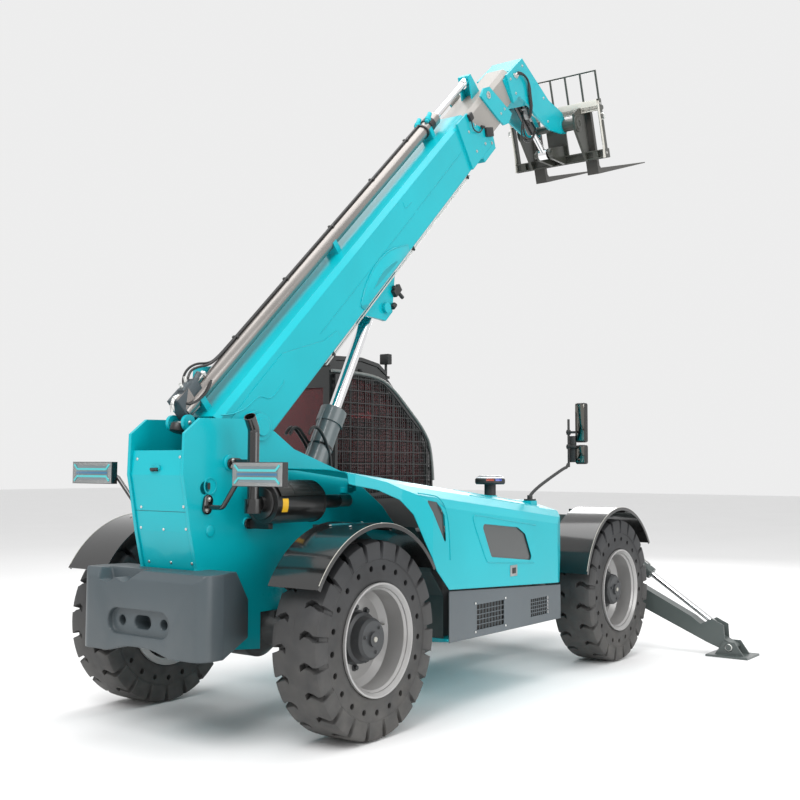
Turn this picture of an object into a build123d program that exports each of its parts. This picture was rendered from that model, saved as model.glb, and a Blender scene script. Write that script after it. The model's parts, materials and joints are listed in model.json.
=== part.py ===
from build123d import *
import os
from math import atan2, cos, degrees, hypot, pi, radians, sin, sqrt

# Telehandler, in millimetres. While it is drawn, the origin is on the ground under the rear axle,
# +X runs forward, +Y to the left and +Z up. Each piece is moved back by middle_from_rear_axle
# when it is written, so the finished machine stands on the middle of its own footprint.

# Running gear
wheelbase = 3570
middle_from_rear_axle = 2522
wheel_radius = 620
tyre_width = 360
tyre_middle = 940
tread_depth = 42
lug_pitches = 21
lug_groove = 46
shoulder_rounding = 22
rim_seat_radius = 322
rim_flange_radius = 354
rim_flange_lip = 16
rim_wall = 14
rim_dish_depth = 205
hub_radius = 160
hub_length = 190
spindle_radius = 70
running_clearance = 0.05
part_gap = 6
kingpin_offset = 740
kingpin_radius = 30
kingpin_block_radius = 85
kingpin_block_height = 290
yoke_plate = 42
axle_tube_radius = 88
axle_pad_height = 120
differential_radius = 205
steer_cylinder_radius = 44
steer_cylinder_reach = 172

# Wheel fenders that turn with the knuckles
fender_radius = 724
fender_sheet = 6
fender_inner = 746
fender_outer = 1140
rear_fender_angles = (34, 150)
front_fender_angles = (32, 165)
fender_post_reach = 140
fender_post_size = 38

# Main frame
plate_outer = 260
plate_thickness = 25
axle_arch_height = 740
boom_pivot_x = -180
boom_pivot_z = 1957
boom_pin_radius = 60
lift_foot_x = 215
lift_foot_z = 842
lift_foot_lug_inner = 112
lift_foot_lug_outer = 150
bulkhead_top = 870
side_tray_sheet = 12
side_tray_z = 492
side_tray_outer = 1030
counterweight_rear = 980
counterweight_half_width = 555
counterweight_top = 1050
counterweight_bottom = 545

# Engine side
beacon_x = 2040
beacon_y = -700
beacon_z = 1472
mirror_x = 2400
mirror_y = -860
mirror_z = 1425
hood_side = 1050
hood_inner = 345
hood_sheet = 5
hood_slope = 6.1
hood_hinge_y = -331
hood_hinge_drop = 42
hood_hinge_radius = 15
hood_hinge_stations = (700, 2050)
hinge_pin_radius = 7
skirt_sheet = 6
muffler_radius = 132
muffler_y = -450
muffler_z = 1460
exhaust_radius = 38
exhaust_x = -450
shield_gap = 12
shield_sheet = 3

# Boom, three nested box sections
boom_angle = 43
outer_half_width = 190
outer_low = -150
outer_high = 275
outer_wall = 12
outer_rear = -205
outer_front = 3880
middle_half_width = 160
middle_low = -112
middle_high = 232
middle_wall = 10
middle_rear = 300
middle_front = 4480
inner_half_width = 130
inner_low = -84
inner_high = 200
inner_wall = 9
inner_rear = 520
inner_front = 4960
section_bevel = 38
pad_gap = 0.4
pad_length = 160
head_half_width = 165
head_plate = 22
head_pivot_along = 5576
head_pivot_up = -765
head_pin_radius = 40

# Cylinders
lift_pin_along = 1800
lift_pin_up = -322
lift_pin_radius = 50
lift_eye_radius = 68
lift_eye_half_width = 108
lift_lug_inner = 116
lift_lug_outer = 150
lift_pin_head_radius = 42
lift_barrel_radius = 92
lift_barrel_length = 1450
lift_rod_radius = 48
lift_rod_length = 1415
extension_axis_up = 372
extension_barrel_radius = 56
extension_rod_radius = 32
extension_barrel_rear = -280
extension_barrel_front = 3690
extension_rod_front = 4400
tilt_top = (5090, 20)
tilt_crank = (5290, -905)
tilt_barrel_radius = 52
tilt_barrel_length = 640
tilt_rod_length = 620
tilt_rod_radius = 28

# Fork carriage, drawn level and then pitched
fork_pitch = 17.5
carriage_half_width = 520
carriage_face = 205
carriage_low = -392
carriage_high = 150
backrest_high = 497
backrest_bar = 16
fork_spacing = 305
fork_width = 125
fork_thick = 50
fork_length = 1270
fork_sole = -540

# Stabilisers
stabiliser_plane = 4440
arm_thickness = 136
arm_pivot_y = 450
arm_pivot_z = 720
foot_pivot_y = 1810
foot_pivot_z = 84
strut_top_y = 350
strut_top_z = 1170
strut_foot_y = 1690
strut_foot_z = 252
strut_barrel_radius = 50
strut_rod_radius = 27
strut_barrel_length = 850
strut_rod_length = 860
strut_lug_plate = 12
foot_plate = 18
foot_width = 340

# Cab
cab_inner_side = 305
cab_outer_side = 1085
cab_wall = 40
cab_floor_z = 905
pillar_width = 62
guard_bar = 13
door_hinge_x = 1306
door_hinge_y = cab_outer_side + 17
door_hinge_radius = 15
door_hinge_length = 90
door_hinge_heights = (1150, 2250)


def polygon(points, rounding=None):
    # a filled outline, its corners rounded where a radius or one radius a corner is given
    if rounding is None:
        return make_face(Polyline(*points, close=True))
    return make_face(FilletPolyline(*points, radius=rounding, close=True))


def side_slab(outline, y_low, y_high, rounding=None):
    # an outline in x and z, filled from y_low to y_high
    return Plane.XZ.offset(-y_high) * extrude(polygon(outline, rounding), y_high - y_low)


def front_slab(outline, x_low, x_high, rounding=None):
    # an outline in y and z, filled from x_low to x_high
    return Plane.YZ.offset(x_low) * extrude(polygon(outline, rounding), x_high - x_low)


def plan_slab(outline, z_low, z_high, rounding=None):
    # an outline in x and y, filled from z_low to z_high
    return Pos(0, 0, z_low) * extrude(polygon(outline, rounding), z_high - z_low)


def block(x_low, x_high, y_low, y_high, z_low, z_high):
    middle = Pos((x_low + x_high) / 2, (y_low + y_high) / 2, (z_low + z_high) / 2)
    return middle * Box(x_high - x_low, y_high - y_low, z_high - z_low)


def round_bar(start, end, radius):
    start = Vector(*start)
    run = Vector(*end) - start
    return Plane(origin=start, z_dir=run) * Cylinder(radius, run.length, align=(Align.CENTER, Align.CENTER, Align.MIN))


def cross_bar(x, z, radius, y_low, y_high):
    return round_bar((x, y_low, z), (x, y_high, z), radius)


def bent_tube(points, radius, bend):
    path = FilletPolyline(*points, radius=bend)
    return sweep(Plane(origin=path @ 0, z_dir=path % 0) * Circle(radius), path=path)


def turned(profile, x=0, z=0):
    # a profile in (radius, y) turned about the cross axis through x and z
    face = polygon([(radius, y) for radius, y in profile])
    return Pos(x, 0, z) * revolve(face, Axis.Y)


def box_section(half_width, low, high, bevel):
    # section of a boom tube in y and z, its upper edges bevelled
    return [
        (-half_width, low),
        (half_width, low),
        (half_width, high - bevel),
        (half_width - bevel, high),
        (-half_width + bevel, high),
        (-half_width, high - bevel),
    ]


def boom_tube(half_width, low, high, wall, bevel, rear, front):
    outside = front_slab(box_section(half_width, low, high, bevel), rear, front)
    hollow = box_section(half_width - wall, low + wall, high - wall, bevel - wall / 2)
    return outside - front_slab(hollow, rear - 10, front + 10)


# Wheels
def tyre():
    outer = wheel_radius
    shoulder = shoulder_rounding
    half = tyre_width / 2
    profile = [
        (rim_seat_radius, -half + rim_flange_lip),
        (rim_flange_radius + 6, -half + rim_flange_lip),
        (rim_flange_radius + 14, -half),
        (outer - shoulder, -half),
        (outer, -half + shoulder),
        (outer, half - shoulder),
        (outer - shoulder, half),
        (rim_flange_radius + 14, half),
        (rim_flange_radius + 6, half - rim_flange_lip),
        (rim_seat_radius, half - rim_flange_lip),
    ]
    body = turned(profile)
    groove = lug_groove / 2
    outline = [
        (half + 10, -groove),
        (half + 10, groove),
        (half * 0.6, groove * 1.35),
        (half * 0.22, -groove * 0.5),
        (half * 0.6, -groove * 0.75),
    ]
    floor = outer - tread_depth
    cutter = Pos(0, 0, floor) * extrude(polygon([(s, y) for y, s in outline]), tread_depth + 30)
    far_cutter = mirror(cutter, Plane.XZ)
    pitch = 360 / lug_pitches
    cuts = []
    for index in range(lug_pitches):
        cuts.append(Rot(0, index * pitch, 0) * cutter)
        cuts.append(Rot(0, (index + 0.5) * pitch, 0) * far_cutter)
    return body - cuts


def rim():
    # a one-piece deep-dish rim, its disc set in from the outer flange; +Y is the outside
    half = tyre_width / 2
    seat = rim_seat_radius - 0.3
    outer_edge = half + 6
    disc = outer_edge - rim_dish_depth
    inner = seat - rim_wall
    profile = [
        (hub_radius + 0.3, disc - 22),
        (inner - 26, disc - 22),
        (inner, disc - 40),
        (inner, -half - 4),
        (rim_flange_radius, -half - 4),
        (rim_flange_radius, -half + rim_flange_lip - 4),
        (seat, -half + rim_flange_lip - 0.3),
        (seat, half - rim_flange_lip + 0.3),
        (rim_flange_radius, half - rim_flange_lip + 4),
        (rim_flange_radius, outer_edge),
        (rim_flange_radius - 12, outer_edge),
        (inner, half - 34),
        (inner, disc + 40),
        (inner - 40, disc),
        (hub_radius + 0.3, disc),
    ]
    return turned(profile)


def hub():
    # planetary hub in the middle of the rim, bored for the spindle
    disc = tyre_width / 2 + 6 - rim_dish_depth
    bore = spindle_radius + running_clearance
    spindle_end = disc + 60
    nose = disc + hub_length - 40
    profile = [
        (bore, disc - 60),
        (hub_radius - 20, disc - 60),
        (hub_radius, disc - 40),
        (hub_radius, disc + 62),
        (hub_radius - 22, disc + 74),
        (hub_radius - 30, nose - 18),
        (hub_radius - 46, nose),
        (46, nose),
        (46, nose + 16),
        (0, nose + 16),
        (0, spindle_end + 6),
        (bore, spindle_end + 6),
    ]
    return turned(profile)


def knuckle(fender_angles):
    # drawn for the left wheel, around the kingpin, with the axle line through the origin
    wheel_centre = tyre_middle - kingpin_offset
    disc = wheel_centre + tyre_width / 2 + 6 - rim_dish_depth
    half_height = kingpin_block_height / 2
    body = Cylinder(kingpin_block_radius, kingpin_block_height)
    body += round_bar((0, 0, 0), (0, disc - 80, 0), 118)
    body += round_bar((0, 0, 0), (0, disc + 60, 0), spindle_radius)
    pin_depth = half_height - 60
    for side in (1, -1):
        start = (0, 0, side * (half_height + 1))
        body -= round_bar(start, (0, 0, side * pin_depth), kingpin_radius + running_clearance)
    # posts that carry the fender, before and behind the yoke
    post_low = -fender_post_size
    post_y = fender_inner - kingpin_offset
    inner_y = post_y - 45
    for side in (1, -1):
        near = fender_post_reach - fender_post_size / 2
        far = fender_post_reach + fender_post_size / 2
        x_low, x_high = sorted((side * near, side * far))
        top = sqrt(fender_radius**2 - far**2)
        body += block(min(0, side * near), max(0, side * near), inner_y, post_y, post_low, -post_low)
        body += block(x_low, x_high, inner_y, post_y, post_low, top)
        bar_z = sqrt((fender_radius - 22) ** 2 - fender_post_reach**2)
        bar_end = fender_outer - kingpin_offset - 40
        body += round_bar((side * fender_post_reach, inner_y, bar_z), (side * fender_post_reach, bar_end, bar_z), 17)
    first, last = fender_angles
    ring = [(fender_radius, fender_inner - kingpin_offset), (fender_radius, fender_outer - kingpin_offset)]
    ring += [
        (fender_radius - 26, fender_outer - kingpin_offset),
        (fender_radius - 26, fender_outer - kingpin_offset - fender_sheet),
        (fender_radius - fender_sheet, fender_outer - kingpin_offset - fender_sheet),
        (fender_radius - fender_sheet, fender_inner - kingpin_offset),
    ]
    sheet = Rot(0, -last, 0) * revolve(polygon(ring), Axis.Y, last - first)
    return body + sheet


def axle():
    # drive axle with its yokes, drawn around the wheel centre line at x = 0
    tube_end = kingpin_offset - 120
    profile = [
        (0, -tube_end),
        (axle_tube_radius - 12, -tube_end),
        (axle_tube_radius, -340),
        (axle_tube_radius + 30, -228),
        (differential_radius, -110),
        (differential_radius, 90),
        (axle_tube_radius + 30, 228),
        (axle_tube_radius, 340),
        (axle_tube_radius - 12, tube_end),
        (0, tube_end),
    ]
    body = turned(profile)
    yoke_gap = kingpin_block_height / 2 + part_gap
    yoke_top = yoke_gap + yoke_plate
    for side in (1, -1):
        web_in = kingpin_offset - 150
        web_out = kingpin_offset - 105
        tip = kingpin_offset + 62
        body += block(-68, 68, *sorted((side * web_in, side * web_out)), -yoke_top, yoke_top)
        for up in (1, -1):
            z_low, z_high = sorted((up * yoke_gap, up * yoke_top))
            body += block(-68, 68, *sorted((side * web_in, side * tip)), z_low, z_high)
            pin_start = (0, side * kingpin_offset, up * (yoke_top + 12))
            pin_end = (0, side * kingpin_offset, up * (kingpin_block_height / 2 - 56))
            body += round_bar(pin_start, pin_end, kingpin_radius)
            cap_end = (0, side * kingpin_offset, up * (yoke_top - 1))
            body += round_bar(pin_start, cap_end, kingpin_radius + 24)
        pad_y = sorted((side * (plate_outer - plate_thickness - 50), side * (plate_outer + 40)))
        body += block(-70, 70, *pad_y, 0, axle_pad_height)
    return body


def steering_cylinder(reach):
    body = round_bar((reach, -205, 0), (reach, 205, 0), steer_cylinder_radius)
    body += round_bar((reach, -470, 0), (reach, 470, 0), 20)
    for side in (1, -1):
        body += block(*sorted((0, reach)), *sorted((side * 150, side * 190)), -40, 40)
    return body


# Hood hinge line, sloping forward with the hood
def hood_hinge_z(x):
    return 1655 - hood_hinge_drop - (x - 270) * sin(radians(hood_slope)) / cos(radians(hood_slope))


def hood_hinge_point(x):
    return (x, hood_hinge_y, hood_hinge_z(x))


# Main frame
def frame_plate_outline():
    return [
        (-735, 560),
        (-160, 500),
        (-160, axle_arch_height),
        (265, axle_arch_height),
        (265, 450),
        (900, 425),
        (wheelbase - 960, 395),
        (wheelbase - 265, 430),
        (wheelbase - 265, axle_arch_height),
        (wheelbase + 160, axle_arch_height),
        (wheelbase + 160, 560),
        (4330, 600),
        (4330, 1000),
        (3950, 960),
        (1950, 930),
        (1560, 1060),
        (1180, 1400),
        (796, 1628),
        (157, 1816),
        (-43, 1931),
        (-334, 2006),
        (-729, 1998),
        (-860, 1900),
        (-868, 1640),
        (-838, 1498),
        (-798, 1285),
        (-742, 1060),
    ]


def main_frame():
    inner = plate_outer - plate_thickness
    outline = frame_plate_outline()
    right = side_slab(outline, -plate_outer, -inner)
    left = side_slab(outline, inner, plate_outer)
    body = right + left
    # round openings in the tower, and bosses at the boom pivot and the lamp arms
    for side in (1, -1):
        y_low, y_high = sorted((side * (inner - 1), side * (plate_outer + 1)))
        body -= cross_bar(-682, 1559, 42, y_low, y_high)
        y_low, y_high = sorted((side * plate_outer, side * (plate_outer + 14)))
        body += cross_bar(boom_pivot_x, boom_pivot_z, 92, y_low, y_high)
    body += cross_bar(boom_pivot_x, boom_pivot_z, boom_pin_radius, -plate_outer - 26, plate_outer + 26)
    # cross members between the plates
    for x_low, x_high, z_low, z_high in (
        (-700, -430, 566, 586),
        (-560, -540, 586, 1180),
        (480, 500, 470, bulkhead_top),
        (480, 1700, 455, 470),
        (1700, 1720, 455, 900),
        (1720, 3200, 455, 470),
        (3200, 3220, 455, 900),
        (3900, 3920, 640, 940),
        (3900, 4310, 620, 640),
        (4300, 4330, 640, 960),
    ):
        body += block(x_low, x_high, -inner - 1, inner + 1, z_low, z_high)
    # lugs and pin at the foot of the lift cylinder
    for side in (1, -1):
        y_low, y_high = sorted((side * lift_foot_lug_inner, side * lift_foot_lug_outer))
        lug = [
            (lift_foot_x - 65, lift_foot_z - 40),
            (lift_foot_x + 90, lift_foot_z - 142),
            (482, lift_foot_z - 240),
            (482, lift_foot_z + 40),
            (lift_foot_x + 50, lift_foot_z + 80),
            (lift_foot_x - 65, lift_foot_z + 60),
        ]
        body += side_slab(lug, y_low, y_high)
    body += cross_bar(lift_foot_x, lift_foot_z, lift_pin_radius, -inner - 1, inner + 1)
    # outriggers and trays that carry the cab on the left and the engine on the right
    for side in (1, -1):
        y_low, y_high = sorted((side * (plate_outer - 1), side * side_tray_outer))
        body += block(905, 2570, y_low, y_high, side_tray_z, side_tray_z + side_tray_sheet)
        for x in (980, 1700, 2460):
            rib_in = side * (plate_outer - 1)
            rib_out = side * (side_tray_outer - 40)
            rib = [(rib_in, 420), (rib_in, side_tray_z + 1), (rib_out, side_tray_z + 1), (rib_out, 470)]
            body += front_slab(rib, x, x + 16)
    # hood hinge rail and its posts on the right
    for x in hood_hinge_stations:
        z = hood_hinge_z(x)
        low = 900 if x > 1200 else z - 60
        body += block(x - 28, x + 28, hood_hinge_y - 2, -plate_outer + 1, low, z - hood_hinge_radius - 8)
        for step in (-48, 26):
            start = hood_hinge_point(x + step)
            end = hood_hinge_point(x + step + 22)
            body += round_bar(start, end, hood_hinge_radius)
            body += block(x + step, x + step + 22, hood_hinge_y - 12, hood_hinge_y + 12, z - hood_hinge_radius - 20, z - 6)
        body += block(x - 48, x + 48, hood_hinge_y - 12, hood_hinge_y + 12, z - hood_hinge_radius - 30, z - hood_hinge_radius - 10)
        body += round_bar(hood_hinge_point(x - 30), hood_hinge_point(x + 30), hinge_pin_radius)
    return body


def rear_cover():
    # curved sheet between the tower plates, following their rear edge
    half = plate_outer - plate_thickness - 0.3
    outside = [(-842, 1795), (-856, 1640), (-826, 1498), (-786, 1285), (-722, 1040)]
    inside = [(x + 8, z) for x, z in reversed(outside)]
    sheet = side_slab(outside + inside, -half, half)
    latch = block(-866, -846, -40, 40, 1672, 1700)
    return sheet + latch


def counterweight():
    # a casting that wraps the rear of the frame plates and tapers forward clear of the rear wheels
    rear = -counterweight_rear
    wide = counterweight_half_width
    frame_gap = 1
    plan = [
        (rear, -wide),
        (-800, -wide),
        (-455, -430),
        (-455, 430),
        (-800, wide),
        (rear, wide),
    ]
    body = plan_slab(plan, counterweight_bottom, counterweight_top, [95, 60, 10, 10, 60, 95])
    body = body & side_slab(
        [
            (rear - 5, 520),
            (-820, 540),
            (-440, 630),
            (-440, 840),
            (-640, counterweight_top + 5),
            (rear + 45, counterweight_top + 5),
            (rear - 5, counterweight_top - 60),
        ],
        -wide - 5,
        wide + 5,
    )
    # slot for the frame, its plates and what lies between them
    slot_half = plate_outer + frame_gap
    body -= side_slab(
        [(-734, 500), (-400, 500), (-400, 1100), (-745, 1100), (-745, 1060)],
        -slot_half,
        slot_half,
    )
    # shallow arch under the rear face
    arch_radius = 900
    body -= Pos(rear + 60, 0, counterweight_bottom + 45 - arch_radius) * Rot(0, 90, 0) * Cylinder(arch_radius, 240)
    # pocket with a slot and two round holes for the tow pins
    pocket = Plane.YZ.offset(rear - 5) * Pos(0, 735) * extrude(SlotOverall(560, 160), 45)
    slot = Plane.YZ.offset(rear - 5) * Pos(0, 735) * extrude(SlotOverall(150, 84), 165)
    body -= pocket
    body -= slot
    for side in (1, -1):
        body -= round_bar((rear - 5, side * 190, 735), (rear + 180, side * 190, 735), 32)
    # finger notches in the top edge
    notch = [(40, 1055), (130, 985), (185, 975), (250, 1000), (330, 960), (400, 975), (430, 1055)]
    body -= front_slab([(y - 30, z) for y, z in notch], rear - 5, rear + 120)
    return body


# Engine side
def engine():
    block_low = side_tray_z + side_tray_sheet
    return block(1000, 2300, -930, -430, block_low, 1230)


def arch_edge(inset):
    # the hood's lower rear edge over the rear wheel, in x and z
    return [
        (905 + inset, 845),
        (752 + inset, 985),
        (628 + inset, 1190),
        (525 + inset, 1375),
        (400 + inset, 1478),
        (230 + inset, 1545),
        (0 + inset, 1585),
    ]


def hood_volume(inset):
    # outside of the hood, or of the space in it when inset
    outline = [
        (-20 + inset, 1700),
        (2500, 1700),
        (2540, 1425 - inset),
        (2700 - inset, 1335 - inset),
        (2690 - inset, 1200),
        (2590 - inset, 760 - 2 * inset),
    ]
    outline += arch_edge(-3 * inset)
    side = hood_side - inset
    shape = side_slab(outline, -side, -hood_inner)
    plan = [
        (-200, -hood_inner + 10),
        (-200, -850 + inset),
        (60, -872 + inset),
        (420, -990 + inset),
        (700, -side),
        (2520, -side),
        (2640, -side + 40),
        (2800, -side + 190),
        (2800, -hood_inner + 10),
    ]
    shape = shape & plan_slab(plan, 700, 1800)
    crown = [
        (-side, 400),
        (-side, 1478 - inset),
        (-side + 30, 1540 - inset),
        (-side + 100, 1600 - inset),
        (-side + 210, 1635 - inset),
        (-side + 350, 1650 - inset),
        (-hood_inner, 1655 - inset),
        (-hood_inner, 400),
    ]
    over = front_slab(crown, -400, 3000)
    over = Pos(270, 0, 1655) * Rot(0, hood_slope, 0) * Pos(-270, 0, -1655) * over
    return shape & over


def hood():
    shell = hood_volume(0) - hood_volume(hood_sheet)
    # side window and the narrow vent by the wheel arch
    window = [(1337, 1285), (1870, 1236), (1985, 1180), (2100, 972), (1475, 1036)]
    shell -= side_slab(window, -hood_side - 20, -hood_side + 40, 26)
    vent = [(640, 1472), (766, 1455), (846, 1357), (868, 1150)]
    shell -= side_slab(vent, -hood_side - 20, -hood_side + 90, 12)
    # seats of the beacon and the mirror arm
    shell += Pos(beacon_x, beacon_y, beacon_z - 40) * Cylinder(56, 40, align=(Align.CENTER, Align.CENTER, Align.MIN))
    shell += block(mirror_x - 50, mirror_x + 50, mirror_y - 40, mirror_y + 40, mirror_z - 40, mirror_z)
    # hinge knuckles and their straps under the top sheet
    for x in hood_hinge_stations:
        z = hood_hinge_z(x)
        knuckle_start = hood_hinge_point(x - 23)
        knuckle_end = hood_hinge_point(x + 23)
        shell += round_bar(knuckle_start, knuckle_end, hood_hinge_radius)
        shell += block(x - 22, x + 22, -hood_inner - 30, -hood_inner + 1, z, z + hood_hinge_drop)
        shell += block(x - 22, x + 22, -hood_inner, hood_hinge_y + 4, z - 4, z + 4 + hood_hinge_radius / 2)
        shell -= round_bar(hood_hinge_point(x - 60), hood_hinge_point(x + 60), hinge_pin_radius + running_clearance)
    return shell


def side_skirt():
    low_edge = [(925, 475), (2590, 470), (2590, 742), (925, 832)]
    y_face = -side_tray_outer - skirt_sheet
    body = side_slab(low_edge, y_face, -side_tray_outer - 0.3)
    for x_low, x_high, z_low, z_high in ((1290, 1678, 524, 704), (2090, 2386, 532, 668)):
        body -= block(x_low, x_high, y_face - 5, y_face + 20, z_low, z_high)
        count = 9
        for index in range(1, count):
            x = x_low + (x_high - x_low) * index / count
            body += block(x - 3, x + 3, y_face + 1, -side_tray_outer - 0.3, z_low - 1, z_high + 1)
        rows = 5
        for index in range(1, rows):
            z = z_low + (z_high - z_low) * index / rows
            body += block(x_low - 1, x_high + 1, y_face + 1, -side_tray_outer - 0.3, z - 3, z + 3)
    return body


def arch_liner():
    # dark sheet between the rear wheel and the engine
    outer = [(915, side_tray_z + side_tray_sheet + 0.3), (915, 800), (765, 975), (640, 1170), (560, 1290)]
    inner = [(x + 5, z) for x, z in reversed(outer)]
    return side_slab(outer + inner, -hood_side + 60, -hood_inner - 1)


def muffler():
    rear, front = -360, 120
    body = round_bar((rear, muffler_y, muffler_z), (front, muffler_y, muffler_z), muffler_radius)
    # outlet elbow to the stack, inlet pipe and two feet on the tower plate
    body += round_bar((exhaust_x + 54.3, muffler_y, muffler_z), (rear + 1, muffler_y, muffler_z), 48)
    body += round_bar((front - 1, muffler_y, muffler_z), (520, muffler_y, muffler_z), 36)
    for x, z in ((rear + 60, muffler_z - muffler_radius + 10), (front - 80, muffler_z + 28)):
        body += block(x, x + 40, muffler_y, -plate_outer - 0.3, z - 45, z + 10)
    return body


def heat_shield():
    inner = muffler_radius + shield_gap
    outer = inner + shield_sheet
    arc = []
    for index in range(13):
        angle = radians(20 + 140 * index / 12)
        arc.append((muffler_y + outer * cos(angle), muffler_z + outer * sin(angle)))
    back = []
    for index in range(13):
        angle = radians(160 - 140 * index / 12)
        back.append((muffler_y + inner * cos(angle), muffler_z + inner * sin(angle)))
    body = front_slab(arc + back, -330, 100)
    for x in (-300, 60):
        for angle in (35, 145):
            foot = (x, muffler_y + (muffler_radius + 0.6) * cos(radians(angle)), muffler_z + (muffler_radius + 0.6) * sin(radians(angle)))
            tip = (x, muffler_y + (inner + 1) * cos(radians(angle)), muffler_z + (inner + 1) * sin(radians(angle)))
            body += round_bar(foot, tip, 9)
    return body


def exhaust_pipe():
    base = (exhaust_x, muffler_y, muffler_z + 30)
    points = [base, (exhaust_x, muffler_y, 1930), (exhaust_x - 60, muffler_y - 20, 2010)]
    outside = bent_tube(points, exhaust_radius, 60)
    hollow = round_bar((-470, muffler_y - 7, 1960), (-530, muffler_y - 27, 2040), exhaust_radius - 5)
    body = outside - hollow
    body += block(exhaust_x - 20, exhaust_x + 20, muffler_y, -plate_outer - 0.3, 1690, 1740)
    body += round_bar((exhaust_x, muffler_y, muffler_z - 60), (exhaust_x, muffler_y, muffler_z + 31), 54)
    return body


# Boom
def in_boom(piece):
    return Pos(boom_pivot_x, 0, boom_pivot_z) * Rot(0, -boom_angle, 0) * piece


def boom_point(along, up):
    angle = radians(boom_angle)
    x = boom_pivot_x + along * cos(angle) - up * sin(angle)
    z = boom_pivot_z + along * sin(angle) + up * cos(angle)
    return x, z


def outer_boom():
    body = boom_tube(outer_half_width, outer_low, outer_high, outer_wall, section_bevel, outer_rear, outer_front)
    # pivot bosses with the bore for the frame's pin
    boss_out = plate_outer - plate_thickness - part_gap
    for side in (1, -1):
        y_low, y_high = sorted((side * (outer_half_width - outer_wall), side * boss_out))
        body += cross_bar(0, 0, 110, y_low, y_high)
    # nose plates and the guide pads of the middle section
    nose = [
        (3680, 278),
        (3895, 272),
        (3931, 154),
        (4166, -73),
        (4130, -184),
        (3927, -200),
        (3830, -150),
        (3640, -150),
    ]
    for side in (1, -1):
        y_low, y_high = sorted((side * (outer_half_width - 1), side * (outer_half_width + 20)))
        body += side_slab(nose, y_low, y_high)
    body += front_slab([(-212, -205), (212, -205), (212, -150), (-212, -150)], 3860, 4120)
    gap = pad_gap
    rear = outer_front - pad_length - 20
    for side in (1, -1):
        y_low, y_high = sorted((side * (middle_half_width + gap), side * (outer_half_width - outer_wall + 1)))
        body += block(rear, outer_front - 20, y_low, y_high, middle_low + 10, middle_high - section_bevel - 10)
    low_pad = block(rear, outer_front - 20, -110, 110, outer_low + outer_wall - 1, middle_low - gap)
    top_pad = block(rear, outer_front - 20, -90, 90, middle_high + gap, outer_high - outer_wall + 1)
    body += low_pad + top_pad
    # lugs of the lift cylinder, open between them
    lug = [
        (lift_pin_along - 310, outer_low + 1),
        (lift_pin_along - 110, lift_pin_up - 28),
        (lift_pin_along - 60, lift_pin_up - 83),
        (lift_pin_along + 60, lift_pin_up - 83),
        (lift_pin_along + 120, lift_pin_up - 28),
        (lift_pin_along + 350, outer_low + 1),
    ]
    for side in (1, -1):
        y_low, y_high = sorted((side * lift_lug_inner, side * lift_lug_outer))
        body += side_slab(lug, y_low, y_high)
        y_low, y_high = sorted((side * lift_lug_inner, side * (lift_lug_outer + 30)))
        body += cross_bar(lift_pin_along, lift_pin_up, lift_pin_head_radius, y_low, y_high)
    # saddles of the extension cylinder
    for along in (extension_barrel_rear + 130, 1700, 3480):
        saddle = block(along, along + 50, -60, 60, outer_high - 1, extension_axis_up)
        seat_radius = extension_barrel_radius + 0.3
        body += saddle - round_bar((along - 5, 0, extension_axis_up), (along + 60, 0, extension_axis_up), seat_radius)
    # doubler plates on the sides, near the pivot and at the lift lugs
    wave = [(-190, 180), (200, 190), (560, 190), (760, 90), (980, -20), (1150, -60), (1150, -140), (-190, -140)]
    for side in (1, -1):
        y_low, y_high = sorted((side * (outer_half_width - 1), side * (outer_half_width + 8)))
        body += side_slab(wave, y_low, y_high)
    body -= cross_bar(0, 0, boom_pin_radius + running_clearance, -400, 400)
    return in_boom(body)


def extension_barrel():
    rear, front = extension_barrel_rear, extension_barrel_front
    up = extension_axis_up
    body = round_bar((rear, 0, up), (front, 0, up), extension_barrel_radius)
    body += round_bar((front - 90, 0, up), (front, 0, up), extension_barrel_radius + 8)
    body += block(rear - 20, rear + 110, -48, 48, up - 40, up + 118)
    bore = extension_rod_radius + running_clearance
    body -= round_bar((rear + 120, 0, up), (front + 5, 0, up), bore)
    return in_boom(body)


def middle_boom():
    body = boom_tube(middle_half_width, middle_low, middle_high, middle_wall, section_bevel, middle_rear, middle_front)
    nose = [
        (4268, 252),
        (4369, 283),
        (4469, 247),
        (4675, -137),
        (4558, -178),
        (4462, -149),
        (4400, -40),
    ]
    for side in (1, -1):
        y_low, y_high = sorted((side * (middle_half_width - 1), side * (middle_half_width + 18)))
        body += side_slab(nose, y_low, y_high)
    gap = pad_gap
    # rear guide pads in the outer section
    start, end = middle_rear, middle_rear + pad_length
    for side in (1, -1):
        y_low, y_high = sorted((side * (middle_half_width - 1), side * (outer_half_width - outer_wall - gap)))
        body += block(start, end, y_low, y_high, middle_low + 10, middle_high - section_bevel - 10)
    body += block(start, end, -110, 110, outer_low + outer_wall + gap, middle_low + 1)
    body += block(start, end, -90, 90, middle_high - 1, outer_high - outer_wall - gap)
    # front guide pads for the inner section
    start, end = middle_front - pad_length - 20, middle_front - 20
    for side in (1, -1):
        y_low, y_high = sorted((side * (inner_half_width + gap), side * (middle_half_width - middle_wall + 1)))
        body += block(start, end, y_low, y_high, inner_low + 10, inner_high - section_bevel - 10)
    body += block(start, end, -90, 90, middle_low + middle_wall - 1, inner_low - gap)
    body += block(start, end, -70, 70, inner_high + gap, middle_high - middle_wall + 1)
    # bracket that the extension rod pushes
    foot = middle_high - 1
    top = extension_axis_up + 48
    body += block(extension_rod_front, extension_rod_front + 36, -60, 60, foot, top)
    for side in (1, -1):
        y_low, y_high = sorted((side * 44, side * 60))
        web = [(extension_rod_front - 90, foot), (extension_rod_front + 70, foot), (extension_rod_front + 36, top)]
        web += [(extension_rod_front, top)]
        body += side_slab(web, y_low, y_high)
    return in_boom(body)


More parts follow.
